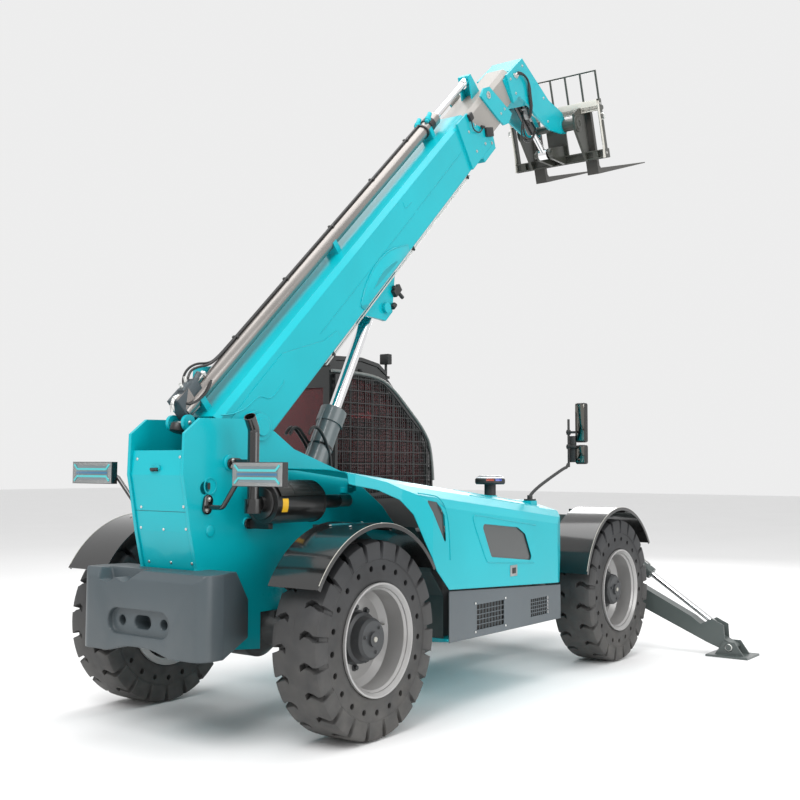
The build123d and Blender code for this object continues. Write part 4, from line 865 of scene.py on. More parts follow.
def makeTower():
    shape = towerShape
    side, sink = (0, -1, 0), shape["sink"]
    recess = shape["recess"]
    bosses = [ring(onPlate(recess, -sink), onPlate(recess, shape["recessOut"]), *shape["recessRadii"])]
    crescent = Matrix.Translation(onPlate(shape["crescent"], -sink)) @ turnTo(side)
    bosses.append(placed(domeHead(*shape["crescentSize"]), crescent))
    for clamp in shape["clamps"]:
        if "boss" in clamp:
            start, end = onPlate(clamp["middle"], -sink), onPlate(clamp["middle"], clamp["out"])
            bosses.append(rod(start, end, *clamp["boss"], 0.004))
    finish(joined(bosses), "towerBosses", "tealPaint", "chassis", angle=30)
    # a black stadium in the recess, painted as the shade inside the plate's hole
    shift, length, width = shape["slot"]
    upright = Matrix.Rotation(math.radians(90), 4, "Y") @ Matrix.Rotation(math.radians(90), 4, "X")
    out, depth = shape["slotDepth"]
    place = Matrix.Translation(onPlate(recess, out, (shift, 0)))
    slot = placed(plate(stadium(length, width), (0, 0, depth)), place @ upright)
    finish(slot, "plateHoleShade", "openingShadeBlack", "chassis")
    finish(joined([clampPlate(clamp) for clamp in shape["clamps"]]), "towerClamps", "blackGloss", "chassis")
    spots = []
    for clamp in shape["clamps"]:
        out = clamp["out"] + shape["clampThickness"]
        spots += [(onPlate(clamp["middle"], out, bolt), side) for bolt in clamp["bolts"]]
    finish(spread(boltHead(*shape["bolt"]), spots), "towerBolts", "zincSteel", "chassis")
    print("tower fittings made")


makeCover()
makeTower()

# rear lamps: a patterned metal border round two bars with flared ends
lampShape = {
    "middle": 0.760, "half": 0.201, "low": 1.579, "high": 1.718, "face": -0.7450,
    "faceEnds": (-0.003, 0.001), "lens": ((-0.0045, -0.168, -0.048), (0, 0.168, 0.048)),
    "stud": (0.00336, 0.00168, 0.0024), "studPlane": -0.0029, "studHalf": 0.193, "studEdge": 0.0655,
    "studStep": 0.0075, "studShift": 0.0033, "longRows": 3, "longStuds": 30, "endRows": 9, "endStep": 0.010,
    "endLow": -0.040, "endStuds": 3,
    "barReach": 0.150, "barHeight": 0.024, "barWidth": 0.015, "barOut": 0.0085, "flare": (0.182, 0.055),
    "bandReach": 0.160, "bandWidth": 0.015, "bandOut": 0.0065,
}


def lampStroke(points, width, out, look):
    # a flat bar along points (y, z) on the lamp's face
    upper, lower = [], []
    for index, (y, z) in enumerate(points):
        near = points[min(index + 1, len(points) - 1)]
        far = points[max(index - 1, 0)]
        way = Vector((0, near[0] - far[0], near[1] - far[1])).normalized()
        across = Vector((0, -way.z, way.y)) * width / 2
        upper.append(Vector((0, y, z)) + across)
        lower.append(Vector((0, y, z)) - across)
    return paint(plate(upper + lower[::-1], (-out, 0, 0), 0.001), look)


def lampStuds():
    # rows of small studs along the border's long sides, then columns at its ends
    shape = lampShape
    spots, half, step = [], shape["studHalf"], shape["studStep"]
    for row in range(shape["longRows"]):
        height = shape["studEdge"] - row * step
        for column in range(shape["longStuds"]):
            y = -half + 2 * half * column / (shape["longStuds"] - 1) + shape["studShift"] * (row % 2)
            spots += [(y, height), (y, -height)]
    for row in range(shape["endRows"]):
        for column in range(shape["endStuds"]):
            y = half - column * step
            z = shape["endLow"] + row * shape["endStep"]
            spots += [(y, z), (-y, z)]
    radius, tip, tall = shape["stud"]
    stud = rod((0, 0, 0), (0, 0, tall), radius, 6, topRadius=tip)
    places = [(Vector((shape["studPlane"], y, z)), (-1, 0, 0)) for y, z in spots]
    return paint(spread(stud, places), "lampMetal")


def makeLamps():
    shape = lampShape
    half, tall = shape["half"], (shape["high"] - shape["low"]) / 2
    back, front = shape["faceEnds"]
    reach, height, flare = shape["barReach"], shape["barHeight"], shape["flare"]
    for name, side in (("left", 1), ("right", -1)):
        parts = [paint(block((back, -half, -tall), (front, half, tall), 0.001), "lampMetal")]
        parts.append(paint(block(*shape["lens"], 0.002), "lampStrip"))
        parts.append(lampStuds())
        for way in (1, -1):
            path = [(-flare[0], way * flare[1]), (-reach, way * height), (reach, way * height),
                    (flare[0], way * flare[1])]
            parts.append(lampStroke(path, shape["barWidth"], shape["barOut"], "lampTeal"))
        band = [(-shape["bandReach"], 0), (shape["bandReach"], 0)]
        parts.append(lampStroke(band, shape["bandWidth"], shape["bandOut"], "lampBlue"))
        middle = at(shape["face"], side * shape["middle"], (shape["low"] + shape["high"]) / 2)
        lamp = placed(joined(parts), Matrix.Translation(middle))
        finish(lamp, f"lampFace_{name}", "lampMetal", "chassis")
    print("lamps made")


makeLamps()

# exhaust: rows of black discs in the heat shield, painted as the shade inside its small holes, rims, pipe
# sleeves and a plain label
exhaustShape = {
    "axis": (-0.450, 1.460), "radius": 0.132, "shieldRadius": 0.147, "shieldEnds": (-0.330, 0.100),
    "hole": (0.0058, 0.0014), "holeSink": 0.0006, "columns": 17, "rows": 11, "holeMargin": 0.018,
    "holeTurns": (28, 152),
    "rims": [(-0.362, -0.346), (0.106, 0.122)], "rimWalls": (0.0035, 0.012),
    "caps": [  # from, to, radius, sides, rounding
        (-0.372, -0.358, 0.102, 48, 0.006), (0.118, 0.134, 0.108, 48, 0.008),
        (0.130, 0.165, 0.050, 32, 0.005), (0.190, 0.395, 0.046, 32, 0.008),
    ],
    "bellows": 9, "bellowStart": 0.405, "bellowPitch": 0.013, "bellowWidth": 0.008,
    "bellowRadii": (0.043, 0.035),
    "labelEnds": (-0.312, -0.258), "labelTurns": (166, 204), "labelThickness": 0.0012,
    "straps": (-0.200, -0.020), "strapWidth": 0.012, "strapWalls": (0.002, 0.001), "strapLow": 0.060,
}


def onExhaust(x):
    return at(x, *exhaustShape["axis"])


def shieldStrap(x):
    # a band round the shield, cut off where the shield ends
    shape = exhaustShape
    out, into = shape["strapWalls"]
    radius = shape["shieldRadius"]
    band = ring(onExhaust(x), onExhaust(x + shape["strapWidth"]), radius + out, radius - into, 64)
    selectOnly(band)
    bpy.ops.object.mode_set(mode="EDIT")
    bpy.ops.mesh.select_all(action="SELECT")
    low = onExhaust(0) + Vector((0, 0, shape["strapLow"]))
    bpy.ops.mesh.bisect(plane_co=low, plane_no=(0, 0, 1), clear_inner=True, use_fill=True)
    bpy.ops.object.mode_set(mode="OBJECT")
    return band


def makeExhaust():
    shape = exhaustShape
    start, end = shape["shieldEnds"]
    start, end = start + shape["holeMargin"], end - shape["holeMargin"]
    first, last = shape["holeTurns"]
    spots = []
    for column in range(shape["columns"]):
        x = start + (end - start) * column / (shape["columns"] - 1)
        for row in range(shape["rows"]):
            turn = math.radians(first + (last - first) * row / (shape["rows"] - 1))
            normal = Vector((0, math.cos(turn), math.sin(turn)))
            spots.append((onExhaust(x) + normal * (shape["shieldRadius"] - shape["holeSink"]), normal))
    # black discs just under the shield's face, painted as the shade inside its holes
    radius, depth = shape["hole"]
    finish(spread(rod((0, 0, 0), (0, 0, depth), radius, 10), spots), "shieldHoles", "openingShadeBlack", "chassis")
    radius = shape["radius"]
    out, into = shape["rimWalls"]
    rims = [ring(onExhaust(low), onExhaust(high), radius + out, radius - into, 48)
            for low, high in shape["rims"]]
    rims += [rod(onExhaust(low), onExhaust(high), *size) for low, high, *size in shape["caps"]]
    finish(joined(rims), "mufflerRims", "muffler", "chassis")
    sleeves = []
    for index in range(shape["bellows"]):
        x = shape["bellowStart"] + index * shape["bellowPitch"]
        sleeves.append(ring(onExhaust(x), onExhaust(x + shape["bellowWidth"]), *shape["bellowRadii"], 24))
    finish(joined(sleeves), "pipeBellows", "zincSteel", "chassis")
    thick = shape["labelThickness"]
    label = bentSheet(shape["labelEnds"], shape["axis"], radius + thick, shape["labelTurns"], thick)
    finish(label, "mufflerLabel", "labelYellow", "chassis")
    finish(joined([shieldStrap(x) for x in shape["straps"]]), "shieldStraps", "shieldMetal", "chassis")
    print("exhaust made")


makeExhaust()

# boom: edges, lines and doublers of its side plates, plates of darker teal painted as shade in its slot and
# on its gusset, and the pipes under it
boomShape = {
    "half": 0.190, "lineRadius": 0.0045, "foldRadius": 0.0024, "waveOut": 0.0078,
    "folds": [((0.985, 0.040), (2.615, 0.040)), ((2.665, 0.044), (3.600, 0.050))],
    "wave": [
        (-0.176, 0.258), (-0.116, 0.212), (-0.064, 0.182), (0.007, 0.152), (0.075, 0.138), (0.139, 0.134),
        (0.191, 0.118), (0.239, 0.042), (0.336, 0.026), (0.449, 0.042),
    ],
    "lugArc": [
        (1.521, -0.085), (1.592, -0.048), (1.694, -0.003), (1.836, 0.033), (2.009, 0.033), (2.172, -0.001),
        (2.354, -0.095),
    ],
    "lugBase": [(2.340, -0.145), (1.521, -0.145)], "lugSink": 0.001, "lugThickness": 0.006, "lugFace": 0.004,
    "slotArc": [(1.736, -0.091), (1.841, -0.064), (1.971, -0.061), (2.130, -0.100)],
    "slotBase": [(2.139, -0.118), (1.798, -0.104)], "slotDepth": 0.0022, "slotLine": (0.0055, 0.0035),
    "gusset": [(1.504, -0.094), (1.577, -0.131), (1.591, -0.148), (1.526, -0.148)], "gussetDepth": 0.0024,
    "notch": [(2.636, 0.137), (2.534, 0.137), (2.525, 0.165), (2.539, 0.198)], "notchRadius": 0.004,
    "pipeY": 0.172, "pipeUps": (-0.160, -0.184), "pipeEnds": (0.900, 3.600), "pipeRadius": 0.0075,
    "clips": (1.02, 2.42, 3.56), "clipSize": (0.010, 0.012), "clipUps": (-0.193, -0.149),
    "lugBlock": ((1.950, -0.020, -0.330), (2.052, 0.018, -0.268)), "lugBlockY": 0.166,
    "lugRods": [  # start, end, y, radius, rounding
        ((1.985, -0.250), (2.030, -0.390), 0.168, 0.016, 0.003),
        ((1.860, -0.365), (1.905, -0.365), 0.170, 0.022, 0.004),
    ],
}


def sideLine(points, y, radius):
    return tube(outline(points, y), radius, 3)


def sideRod(start, end, y, radius, sides, rounding=0.0):
    return rod(*outline((start, end), y), radius, sides, rounding)


def makeBoomSides():
    shape = boomShape
    lines, darkPlates = [], []
    for side in (1, -1):
        face = side * shape["half"]
        onLug = face + side * shape["lugFace"]
        lines.append(sideLine(shape["wave"], face + side * shape["waveOut"], shape["lineRadius"]))
        lines += [sideRod(start, end, face, shape["foldRadius"], 8) for start, end in shape["folds"]]
        lines.append(sideLine(shape["notch"], face, shape["notchRadius"]))
        lug = outline(shape["lugArc"] + shape["lugBase"], face - side * shape["lugSink"])
        lines.append(plate(lug, (0, side * shape["lugThickness"], 0), 0.002))
        lines.append(sideLine(shape["lugArc"], onLug, shape["lineRadius"]))
        # a thin plate of darker teal over the slot, painted as the shade in its recess
        slot = outline(shape["slotArc"] + shape["slotBase"], onLug)
        darkPlates.append(plate(slot, (0, side * shape["slotDepth"], 0)))
        out, radius = shape["slotLine"]
        lines.append(sideLine(shape["slotArc"], face + side * out, radius))
        # the gusset as a thin plate of darker teal, painted shade
        darkPlates.append(plate(outline(shape["gusset"], onLug), (0, side * shape["gussetDepth"], 0)))
    forms = placed(joined(lines), boomFrame)
    finish(forms, "boomSideForms", "tealPaint", "boom_outer", angle=40)
    finish(placed(joined(darkPlates), boomFrame), "boomSlotShades", "tealPaintedShade", "boom_outer")


def makeBoomPipes():
    shape = boomShape
    low, high = shape["pipeEnds"]
    pipes, clips = [], []
    for side in (1, -1):
        y = side * shape["pipeY"]
        pipes += [rod((low, y, up), (high, y, up), shape["pipeRadius"], 12) for up in shape["pipeUps"]]
        half, wide = shape["clipSize"]
        below, above = shape["clipUps"]
        for along in shape["clips"]:
            clips.append(block((along - half, y - wide, below), (along + half, y + wide, above), 0.002))
        (rear, inner, below), (front, outer, above) = shape["lugBlock"]
        y = side * shape["lugBlockY"]
        clips.append(block((rear, y + inner, below), (front, y + outer, above), 0.006))
        clips += [sideRod(start, end, side * y, radius, 14, rounding)
                  for start, end, y, radius, rounding in shape["lugRods"]]
    finish(placed(joined(pipes), boomFrame), "boomPipes", "zincSteel", "boom_outer")
    finish(placed(joined(clips), boomFrame), "boomClips", "blackPlastic", "boom_outer")
    print("boom sides made")


makeBoomSides()
makeBoomPipes()

# fittings of the extension cylinder on top of the boom
cylinderShape = {
    "up": 0.372, "radius": 0.056,
    "eye": (-0.338, 0.338), "earYs": (0.058, 0.084), "earRadii": (0.052, 0.014), "pin": (0.090, 0.0135),
    "shield": [(0.035, 0.504), (0.198, 0.383), (0.170, 0.350), (0.050, 0.360), (-0.029, 0.445)],
    "shieldY": 0.050, "shieldThickness": 0.008,
    "ports": [(3.43, 0.030), (3.52, -0.034)],  # heights over the barrel's axis
    "port": ((0, 0, 0.052), (0.100, 0, 0.085), 0.020, 20, 0.004),
    "portCollar": ((0.020, 0, 0.056), (0.045, 0, 0.066), 0.027, 0.018, 20),
    "fittings": [  # start, end, radius, sides, rounding; heights over the barrel's top from here on
        ((-0.232, -0.012, 0.048), (-0.290, -0.012, 0.070), 0.017, 6, 0.002),
        ((-0.290, -0.012, 0.070), (-0.325, -0.012, 0.050), 0.013, 16, 0.003),
        ((-0.325, -0.012, 0.052), (-0.350, -0.012, 0.012), 0.016, 6, 0.002),
        ((-0.180, -0.010, 0.060), (-0.180, -0.010, 0.108), 0.013, 6, 0.002),
        ((-0.120, 0.012, 0.060), (-0.100, 0.012, 0.104), 0.013, 6, 0.002),
        ((-0.060, -0.006, 0.030), (0.040, -0.006, 0.022), 0.015, 12, 0.003),
    ],
    "nut": ((0.012, -0.006, 0.024), (0.030, -0.006, 0.023), 0.024, 0.014, 6),
    "valve": ((-0.238, -0.045, -0.020), (-0.070, 0.035, 0.062), 0.005),
    "lid": ((-0.205, -0.036, 0.058), (-0.110, 0.024, 0.074), 0.003),
    "coil": ((-0.085, -0.020, 0.042), (-0.010, -0.020, 0.060), 0.020, 20, 0.004),
    "hoses": [  # radius, route
        (0.0085, [(-0.130, 0.040, 0.040), (-0.090, 0.075, 0.060), (-0.010, 0.082, 0.090),
                  (0.070, 0.060, 0.080), (0.130, 0.030, 0.030), (0.200, 0.026, 0.006),
                  (0.400, 0.026, 0.002), (3.420, 0.026, 0.002)]),
        (0.0085, [(-0.100, 0.000, 0.080), (-0.060, 0.000, 0.110), (0.020, 0.006, 0.086),
                  (0.110, 0.006, 0.030), (0.200, 0.006, 0.010), (0.400, 0.006, 0.010),
                  (3.450, 0.006, 0.010)]),
        (0.0080, [(-0.240, -0.030, 0.010), (-0.262, -0.052, -0.006), (-0.180, -0.068, -0.044),
                  (-0.060, -0.072, -0.054), (0.010, -0.062, -0.022)]),
    ],
    "clips": (0.45, 1.15, 1.85, 2.55, 3.20), "clip": ((-0.010, -0.010, -0.006), (0.010, 0.042, 0.016), 0.002),
    "collars": [(3.530, 3.600, 0.0095), (3.440, 3.455, 0.0100)], "collarInto": 0.010,
    "foot": ((-0.352, 0, -0.034), (-0.398, 0, -0.060), 0.052, 32, 0.006),
}


def makeExtensionCylinder():
    shape = cylinderShape
    up, radius = shape["up"], shape["radius"]
    onTop = (0, 0, up + radius)
    along, rise = shape["eye"]
    near, far = shape["earYs"]
    ears = [ring((along, side * near, rise), (along, side * far, rise), *shape["earRadii"], 32)
            for side in (1, -1)]
    ears.append(plate(outline(shape["shield"], shape["shieldY"]), (0, shape["shieldThickness"], 0), 0.001))
    for x, y in shape["ports"]:
        ears += [made(rod, shape["port"], (x, y, up)), made(ring, shape["portCollar"], (x, y, up))]
    finish(placed(joined(ears), boomFrame), "cylinderEars", "tealPaint", "boom_outer")
    reach, thick = shape["pin"]
    fittings = [rod((along, -reach, rise), (along, reach, rise), thick, 16, 0.002)]
    fittings += [made(rod, fitting, onTop) for fitting in shape["fittings"]]
    fittings.append(made(ring, shape["nut"], onTop))
    finish(placed(joined(fittings), boomFrame), "cylinderFittings", "zincSteel", "boom_outer")
    valve = [made(block, shape["valve"], onTop), made(block, shape["lid"], onTop),
             made(rod, shape["coil"], onTop)]
    finish(placed(joined(valve), boomFrame), "cylinderValve", "slateCasting", "boom_outer")
    hoses = [tube(moved(route, onTop), thick, 3) for thick, route in shape["hoses"]]
    hoses += [made(block, shape["clip"], (x, 0, up + radius)) for x in shape["clips"]]
    for start, end, out in shape["collars"]:
        hoses.append(ring((start, 0, up), (end, 0, up), radius + out, radius - shape["collarInto"], 48))
    hoses.append(made(rod, shape["foot"], (0, 0, up)))
    finish(placed(joined(hoses), boomFrame), "cylinderHoses", "hoseRubber", "boom_outer")
    print("extension cylinder fittings made")


makeExtensionCylinder()

# noses of the outer and the middle section
noseShape = {
    "outerFace": 0.210, "middleFace": 0.178, "sink": 0.0005, "bolt": (0.009, 0.009),
    "sensor": ((-0.060, -0.026, -0.042), (0.060, 0.001, 0.042), 0.006), "sensorPlace": (4.100, -0.030),
    "sensorTurn": 28, "switch": ((3.872, -0.028, 0.196), (3.935, 0.001, 0.262), 0.006),
    "plug": ((4.046, -0.016, 0.048), (4.006, -0.016, 0.078), 0.013, 12, 0.003),
    "hose": [(3.90, -0.018, 0.215), (3.86, -0.022, 0.165), (3.865, -0.022, 0.110), (3.925, -0.020, 0.055),
             (3.985, -0.016, 0.048), (4.030, -0.014, 0.052)],
    "hoseRadius": 0.006,
    "outerBolts": [(3.942, 0.131), (3.985, -0.083), (3.805, 0.136), (3.805, -0.060), (4.090, -0.135)],
    "middleBolts": [(4.486, -0.039), (4.572, -0.037)],
    "pin": (4.392, 0.200), "pinSink": 0.001, "pinRing": (0.008, 0.034, 0.020), "pinCore": (0.007, 0.016),
}


def bothSides(points, face):
    # places (along, up) on the left and the right face, each facing outwards
    return [(Vector((along, side * face, up)), (0, side, 0)) for along, up in points for side in (1, -1)]


def makeNoses():
    shape = noseShape
    bolt, sink = shape["bolt"], shape["sink"]
    along, up = shape["sensorPlace"]
    turn = Matrix.Rotation(math.radians(shape["sensorTurn"]), 4, "Y")
    parts = [placed(block(*shape["sensor"]), Matrix.Translation((along, -shape["outerFace"], up)) @ turn)]
    face = (0, -shape["outerFace"], 0)
    parts += [made(block, shape["switch"], face), made(rod, shape["plug"], face)]
    parts.append(tube(moved(shape["hose"], face), shape["hoseRadius"], 3))
    finish(placed(joined(parts), boomFrame), "noseSensor", "blackPlastic", "boom_outer")
    bolts = spread(boltHead(*bolt), bothSides(shape["outerBolts"], shape["outerFace"] - sink))
    finish(placed(bolts, boomFrame), "noseBolts", "zincSteel", "boom_outer")
    fixings = [spread(boltHead(*bolt), bothSides(shape["middleBolts"], shape["middleFace"] - sink))]
    along, up = shape["pin"]
    for side in (1, -1):
        face = side * (shape["middleFace"] - shape["pinSink"])
        out, outer, inner = shape["pinRing"]
        fixings.append(ring((along, face, up), (along, face + side * out, up), outer, inner, 32))
        out, radius = shape["pinCore"]
        fixings.append(rod((along, face, up), (along, face + side * out, up), radius, 24, 0.002))
    finish(placed(joined(fixings), boomFrame), "middleNoseBolts", "zincSteel", "boom_middle")
    print("noses made")


makeNoses()

# cab: wire mesh over the right window, tinted panes, work lamp, rail, wiper and handles
cabShape = {
    "guard": [
        (1.262, 1.420), (1.262, 2.440), (1.560, 2.475), (1.778, 2.461), (1.940, 2.420), (2.060, 2.350),
        (2.290, 2.180), (2.520, 2.020), (2.650, 1.830), (2.660, 1.500),
    ],
    "meshPitch": 0.030, "wire": 0.0032, "meshY": 0.285, "wireGap": 0.003, "meshMargin": 0.006,
    "meshLow": 1.432, "meshHigh": 2.462, "meshRear": 1.275, "meshFront": 2.655, "topWires": (2.440, 1.440),
    "rail": [
        (1.211, 2.463), (1.509, 2.470), (1.840, 2.451), (2.055, 2.361), (2.261, 2.212), (2.511, 2.028),
        (2.640, 1.857), (2.662, 1.578),
    ],
    "railY": 0.269, "railRadius": 0.013,
    "knobs": [(1.616, 2.478), (2.279, 2.196), (2.645, 1.671)], "knobY": 0.300, "knob": (0.022, 0.030),
    "paneThickness": 0.005, "paneEnds": (0.360, 1.030), "rightPaneY": 0.322, "doorPaneY": 1.088,
    "rightPane": [
        (1.295, 1.515), (2.594, 1.515), (2.574, 1.862), (2.473, 1.988), (1.932, 2.394), (1.295, 2.445),
    ],
    "rearPane": ((1.240, 0.360, 1.445), (1.245, 1.030, 2.335), 0.001),
    "doorPane": [(1.395, 1.455), (1.395, 2.354), (1.872, 2.340), (2.065, 2.192), (2.065, 1.455)],
    "doorLow": [(1.395, 1.075), (1.395, 1.395), (2.065, 1.395), (2.065, 1.198), (1.992, 1.075)],
    "windscreen": [(2.600, 1.326), (2.668, 1.525), (2.652, 1.847), (2.555, 1.994)],
    "roofWindow": [(1.985, 2.455), (2.222, 2.262), (2.532, 2.040)],
    "lampBody": ((1.985, 0.280, 2.575), (2.045, 0.372, 2.665), 0.008),
    "lampStem": ((2.015, 0.325, 2.470), (2.015, 0.325, 2.580), 0.012, 12),
    "lampFoot": ((1.990, 0.300, 2.452), (2.040, 0.350, 2.475), 0.004),
    "lampLens": ((2.044, 0.290, 2.585), (2.048, 0.362, 2.655), 0.001),
    "wiper": ([(2.665, 0.70, 1.36), (2.680, 0.74, 1.52), (2.672, 0.84, 1.76)], 0.007, 3),
    "wiperPivot": ((2.630, 0.70, 1.34), (2.672, 0.70, 1.36), 0.018, 16, 0.003),
    "handle": ([(2.078, 1.120, 1.40), (2.078, 1.140, 1.43), (2.078, 1.140, 1.55), (2.078, 1.120, 1.58)],
               0.009, 4),
    "grip": ([(2.190, 1.108, 1.30), (2.190, 1.128, 1.36), (2.190, 1.128, 1.86), (2.190, 1.108, 1.92)],
             0.012, 4),
    "controls": [  # low corner, high corner, rounding: panel, its display, lever box
        ((2.26, 0.42, 1.26), (2.50, 0.98, 1.30), 0.010), ((2.36, 0.60, 1.28), (2.42, 0.84, 1.42), 0.010),
        ((1.80, 0.385, 1.26), (2.08, 0.455, 1.37), 0.015),
    ],
    "lever": ((1.98, 0.42, 1.36), (2.02, 0.42, 1.48), 0.010, 12),
    "leverKnobPlace": (2.015, 0.42, 1.465), "leverKnob": (0.024, 0.050),
}


def guardTop(x):
    return between(cabShape["guard"][1:], x)


def guardFront(z):
    return between([(-height, x) for x, height in cabShape["guard"][2:]], -z)


def makeGuard():
    shape = cabShape
    y, margin, low = shape["meshY"], shape["meshMargin"], shape["meshLow"]
    wires = []
    x = shape["meshRear"]
    while x < shape["meshFront"]:
        near = y - shape["wireGap"]
        wires.append(machineRod((x, near, low), (x, near, guardTop(x) - margin), shape["wire"], 5))
        x += shape["meshPitch"]
    topHeight, topStart = shape["topWires"]
    z = low
    while z < shape["meshHigh"]:
        far = y + shape["wireGap"]
        start = shape["meshRear"] if z < topHeight else topStart
        wires.append(machineRod((start, far, z), (guardFront(z) - margin, far, z), shape["wire"], 5))
        z += shape["meshPitch"]
    finish(joined(wires), "guardMesh", "cabBlack", "chassis")
    rail = tube(machineOutline(shape["rail"], shape["railY"]), shape["railRadius"], 4)
    finish(rail, "guardRail", "railGrey", "chassis")
    lean = turnTo((1, 0, 1))
    knobs = [placed(domeHead(*shape["knob"]), Matrix.Translation(spot) @ lean)
             for spot in machineOutline(shape["knobs"], shape["knobY"])]
    finish(joined(knobs), "guardKnobs", "blackPlastic", "chassis")


def bentPane(points, shift):
    # a pane along points (x, z), as thick as shift, right across the cab
    low, high = cabShape["paneEnds"]
    near = machineOutline(points, low)
    far = [point + Vector(shift) for point in near]
    return plate(near + far[::-1], (0, high - low, 0), 0.001)


def flatPane(points, y):
    return plate(machineOutline(points, y), (0, cabShape["paneThickness"], 0), 0.001)


def makePanes():
    shape = cabShape
    thick = shape["paneThickness"]
    finish(flatPane(shape["rightPane"], shape["rightPaneY"]), "rightPane", "cabGlass", "chassis")
    screens = [bentPane(shape["windscreen"], (-thick, 0, 0)), bentPane(shape["roofWindow"], (0, 0, -thick)),
               machineBlock(*shape["rearPane"])]
    finish(joined(screens), "cabPanes", "cabGlass", "chassis")
    doorGlass = [flatPane(shape[key], shape["doorPaneY"]) for key in ("doorPane", "doorLow")]
    finish(joined(doorGlass), "doorPanes", "cabGlass", "cab_door")


def makeCabTrim():
    shape = cabShape
    lamp = [machineBlock(*shape["lampBody"]), machineRod(*shape["lampStem"]),
            machineBlock(*shape["lampFoot"])]
    finish(joined(lamp), "workLamp", "blackPlastic", "chassis")
    finish(machineBlock(*shape["lampLens"]), "workLampLens", "lampMetal", "chassis")
    wiper = [machineTube(*shape["wiper"]), machineRod(*shape["wiperPivot"])]
    finish(joined(wiper), "wiper", "blackPlastic", "chassis")
    finish(machineTube(*shape["handle"]), "doorHandle", "blackPlastic", "cab_door")
    finish(machineTube(*shape["grip"]), "grabRail", "blackPlastic", "chassis")
    controls = [machineBlock(*box) for box in shape["controls"]]
    controls.append(machineRod(*shape["lever"]))
    knobPlace = Matrix.Translation(at(*shape["leverKnobPlace"]))
    controls.append(placed(domeHead(*shape["leverKnob"]), knobPlace))
    finish(joined(controls), "cabControls", "blackPlastic", "chassis")
    print("cab made")


seatShape = {
    "cushion": ((1.512, 0.470, 1.150), (1.990, 0.930, 1.286)), "channels": 5, "swell": 0.016, "fill": 0.75,
    "cuts": 19, "cornerPull": 0.035, "sidePull": 0.040, "seam": 0.45, "core": 0.82, "edge": (0.020, 3, 50),
    "backLow": (1.478, 1.250), "backHigh": (1.402, 1.812), "backMiddle": 0.70, "backWidth": 0.430,
    "backThickness": 0.075,
    "frame": [  # low corner, high corner, rounding: plinth and pan
        ((1.560, 0.530, 0.942), (1.940, 0.870, 1.090), 0.020),
        ((1.500, 0.470, 1.085), (1.990, 0.930, 1.160), 0.012),
    ],
    "backPlate": [
        (1.490, 1.150), (1.440, 1.230), (1.360, 1.800), (1.385, 1.800), (1.462, 1.240), (1.510, 1.160),
    ],
    "backPlateY": 0.490, "backPlateWidth": 0.420,
    "armYs": (0.505, 0.875), "arm": ((1.550, -0.018, 1.400), (1.860, 0.018, 1.432), 0.010),
    "armStem": ((1.440, 0, 1.380), (1.580, 0, 1.412), 0.012, 12),
}


def cushion(length, width, height):
    # a crowned pad: its top swells between sewn channels and its sides pull in towards the corners
    shape = seatShape
    clearSelection()
    bpy.ops.mesh.primitive_cube_add(size=1, location=(0, 0, 0), scale=(length, width, height))
    pad = settle(bpy.context.object)
    bpy.ops.object.mode_set(mode="EDIT")
    bpy.ops.mesh.select_all(action="SELECT")
    bpy.ops.mesh.subdivide(number_cuts=shape["cuts"])
    bpy.ops.object.mode_set(mode="OBJECT")
    for vertex in pad.data.vertices:
        along, across, up = vertex.co.x / length * 2, vertex.co.y / width * 2, vertex.co.z / height * 2
        pull = 1 - shape["cornerPull"] * abs(along * across) ** 2 - shape["sidePull"] * up * up
        vertex.co.x *= pull
        vertex.co.y *= pull
        crown = shape["swell"] * (1 - along ** 4) * (1 - across ** 4)
        channel = abs(math.sin(math.pi * shape["channels"] * (along + 1) / 2))
        vertex.co.z *= shape["core"]
        if up > 0:
            vertex.co.z += crown * (1 - shape["seam"] + shape["seam"] * channel)
    roundEdges(pad, *shape["edge"])
    return pad


def makeSeat():
    shape = seatShape
    low, high = Vector(shape["cushion"][0]), Vector(shape["cushion"][1])
    base = placed(cushion(*(high - low)), Matrix.Translation(at(*(low + high) / 2)))
    (footX, footZ), (topX, topZ) = shape["backLow"], shape["backHigh"]
    run = Vector((topX - footX, 0, topZ - footZ))
    back = cushion(run.length, shape["backWidth"], shape["backThickness"])
    lean = Matrix.Rotation(-math.atan2(-run.x, run.z), 4, "Y")
    placed(back, lean @ Matrix.Rotation(math.radians(-90), 4, "Y"))
    centre = sum(vertex.co.x for vertex in back.data.vertices) / len(back.data.vertices)
    middle = at((footX + topX) / 2 - centre, shape["backMiddle"], (footZ + topZ) / 2)
    placed(back, Matrix.Translation(middle))
    pad = finish(joined([base, back]), "seatPads", "seatVinyl", "chassis", ("seat",), angle=60)
    parts = [machineBlock(*box) for box in shape["frame"]]
    backPlate = machineOutline(shape["backPlate"], shape["backPlateY"])
    parts.append(plate(backPlate, (0, shape["backPlateWidth"], 0), 0.006))
    for y in shape["armYs"]:
        parts += [made(block, shape["arm"], at(0, y, 0)), made(rod, shape["armStem"], at(0, y, 0))]
    finish(joined(parts), "seatFrame", "blackPlastic", "chassis")
    print("seat made")


makeGuard()
makePanes()
makeCabTrim()
makeSeat()

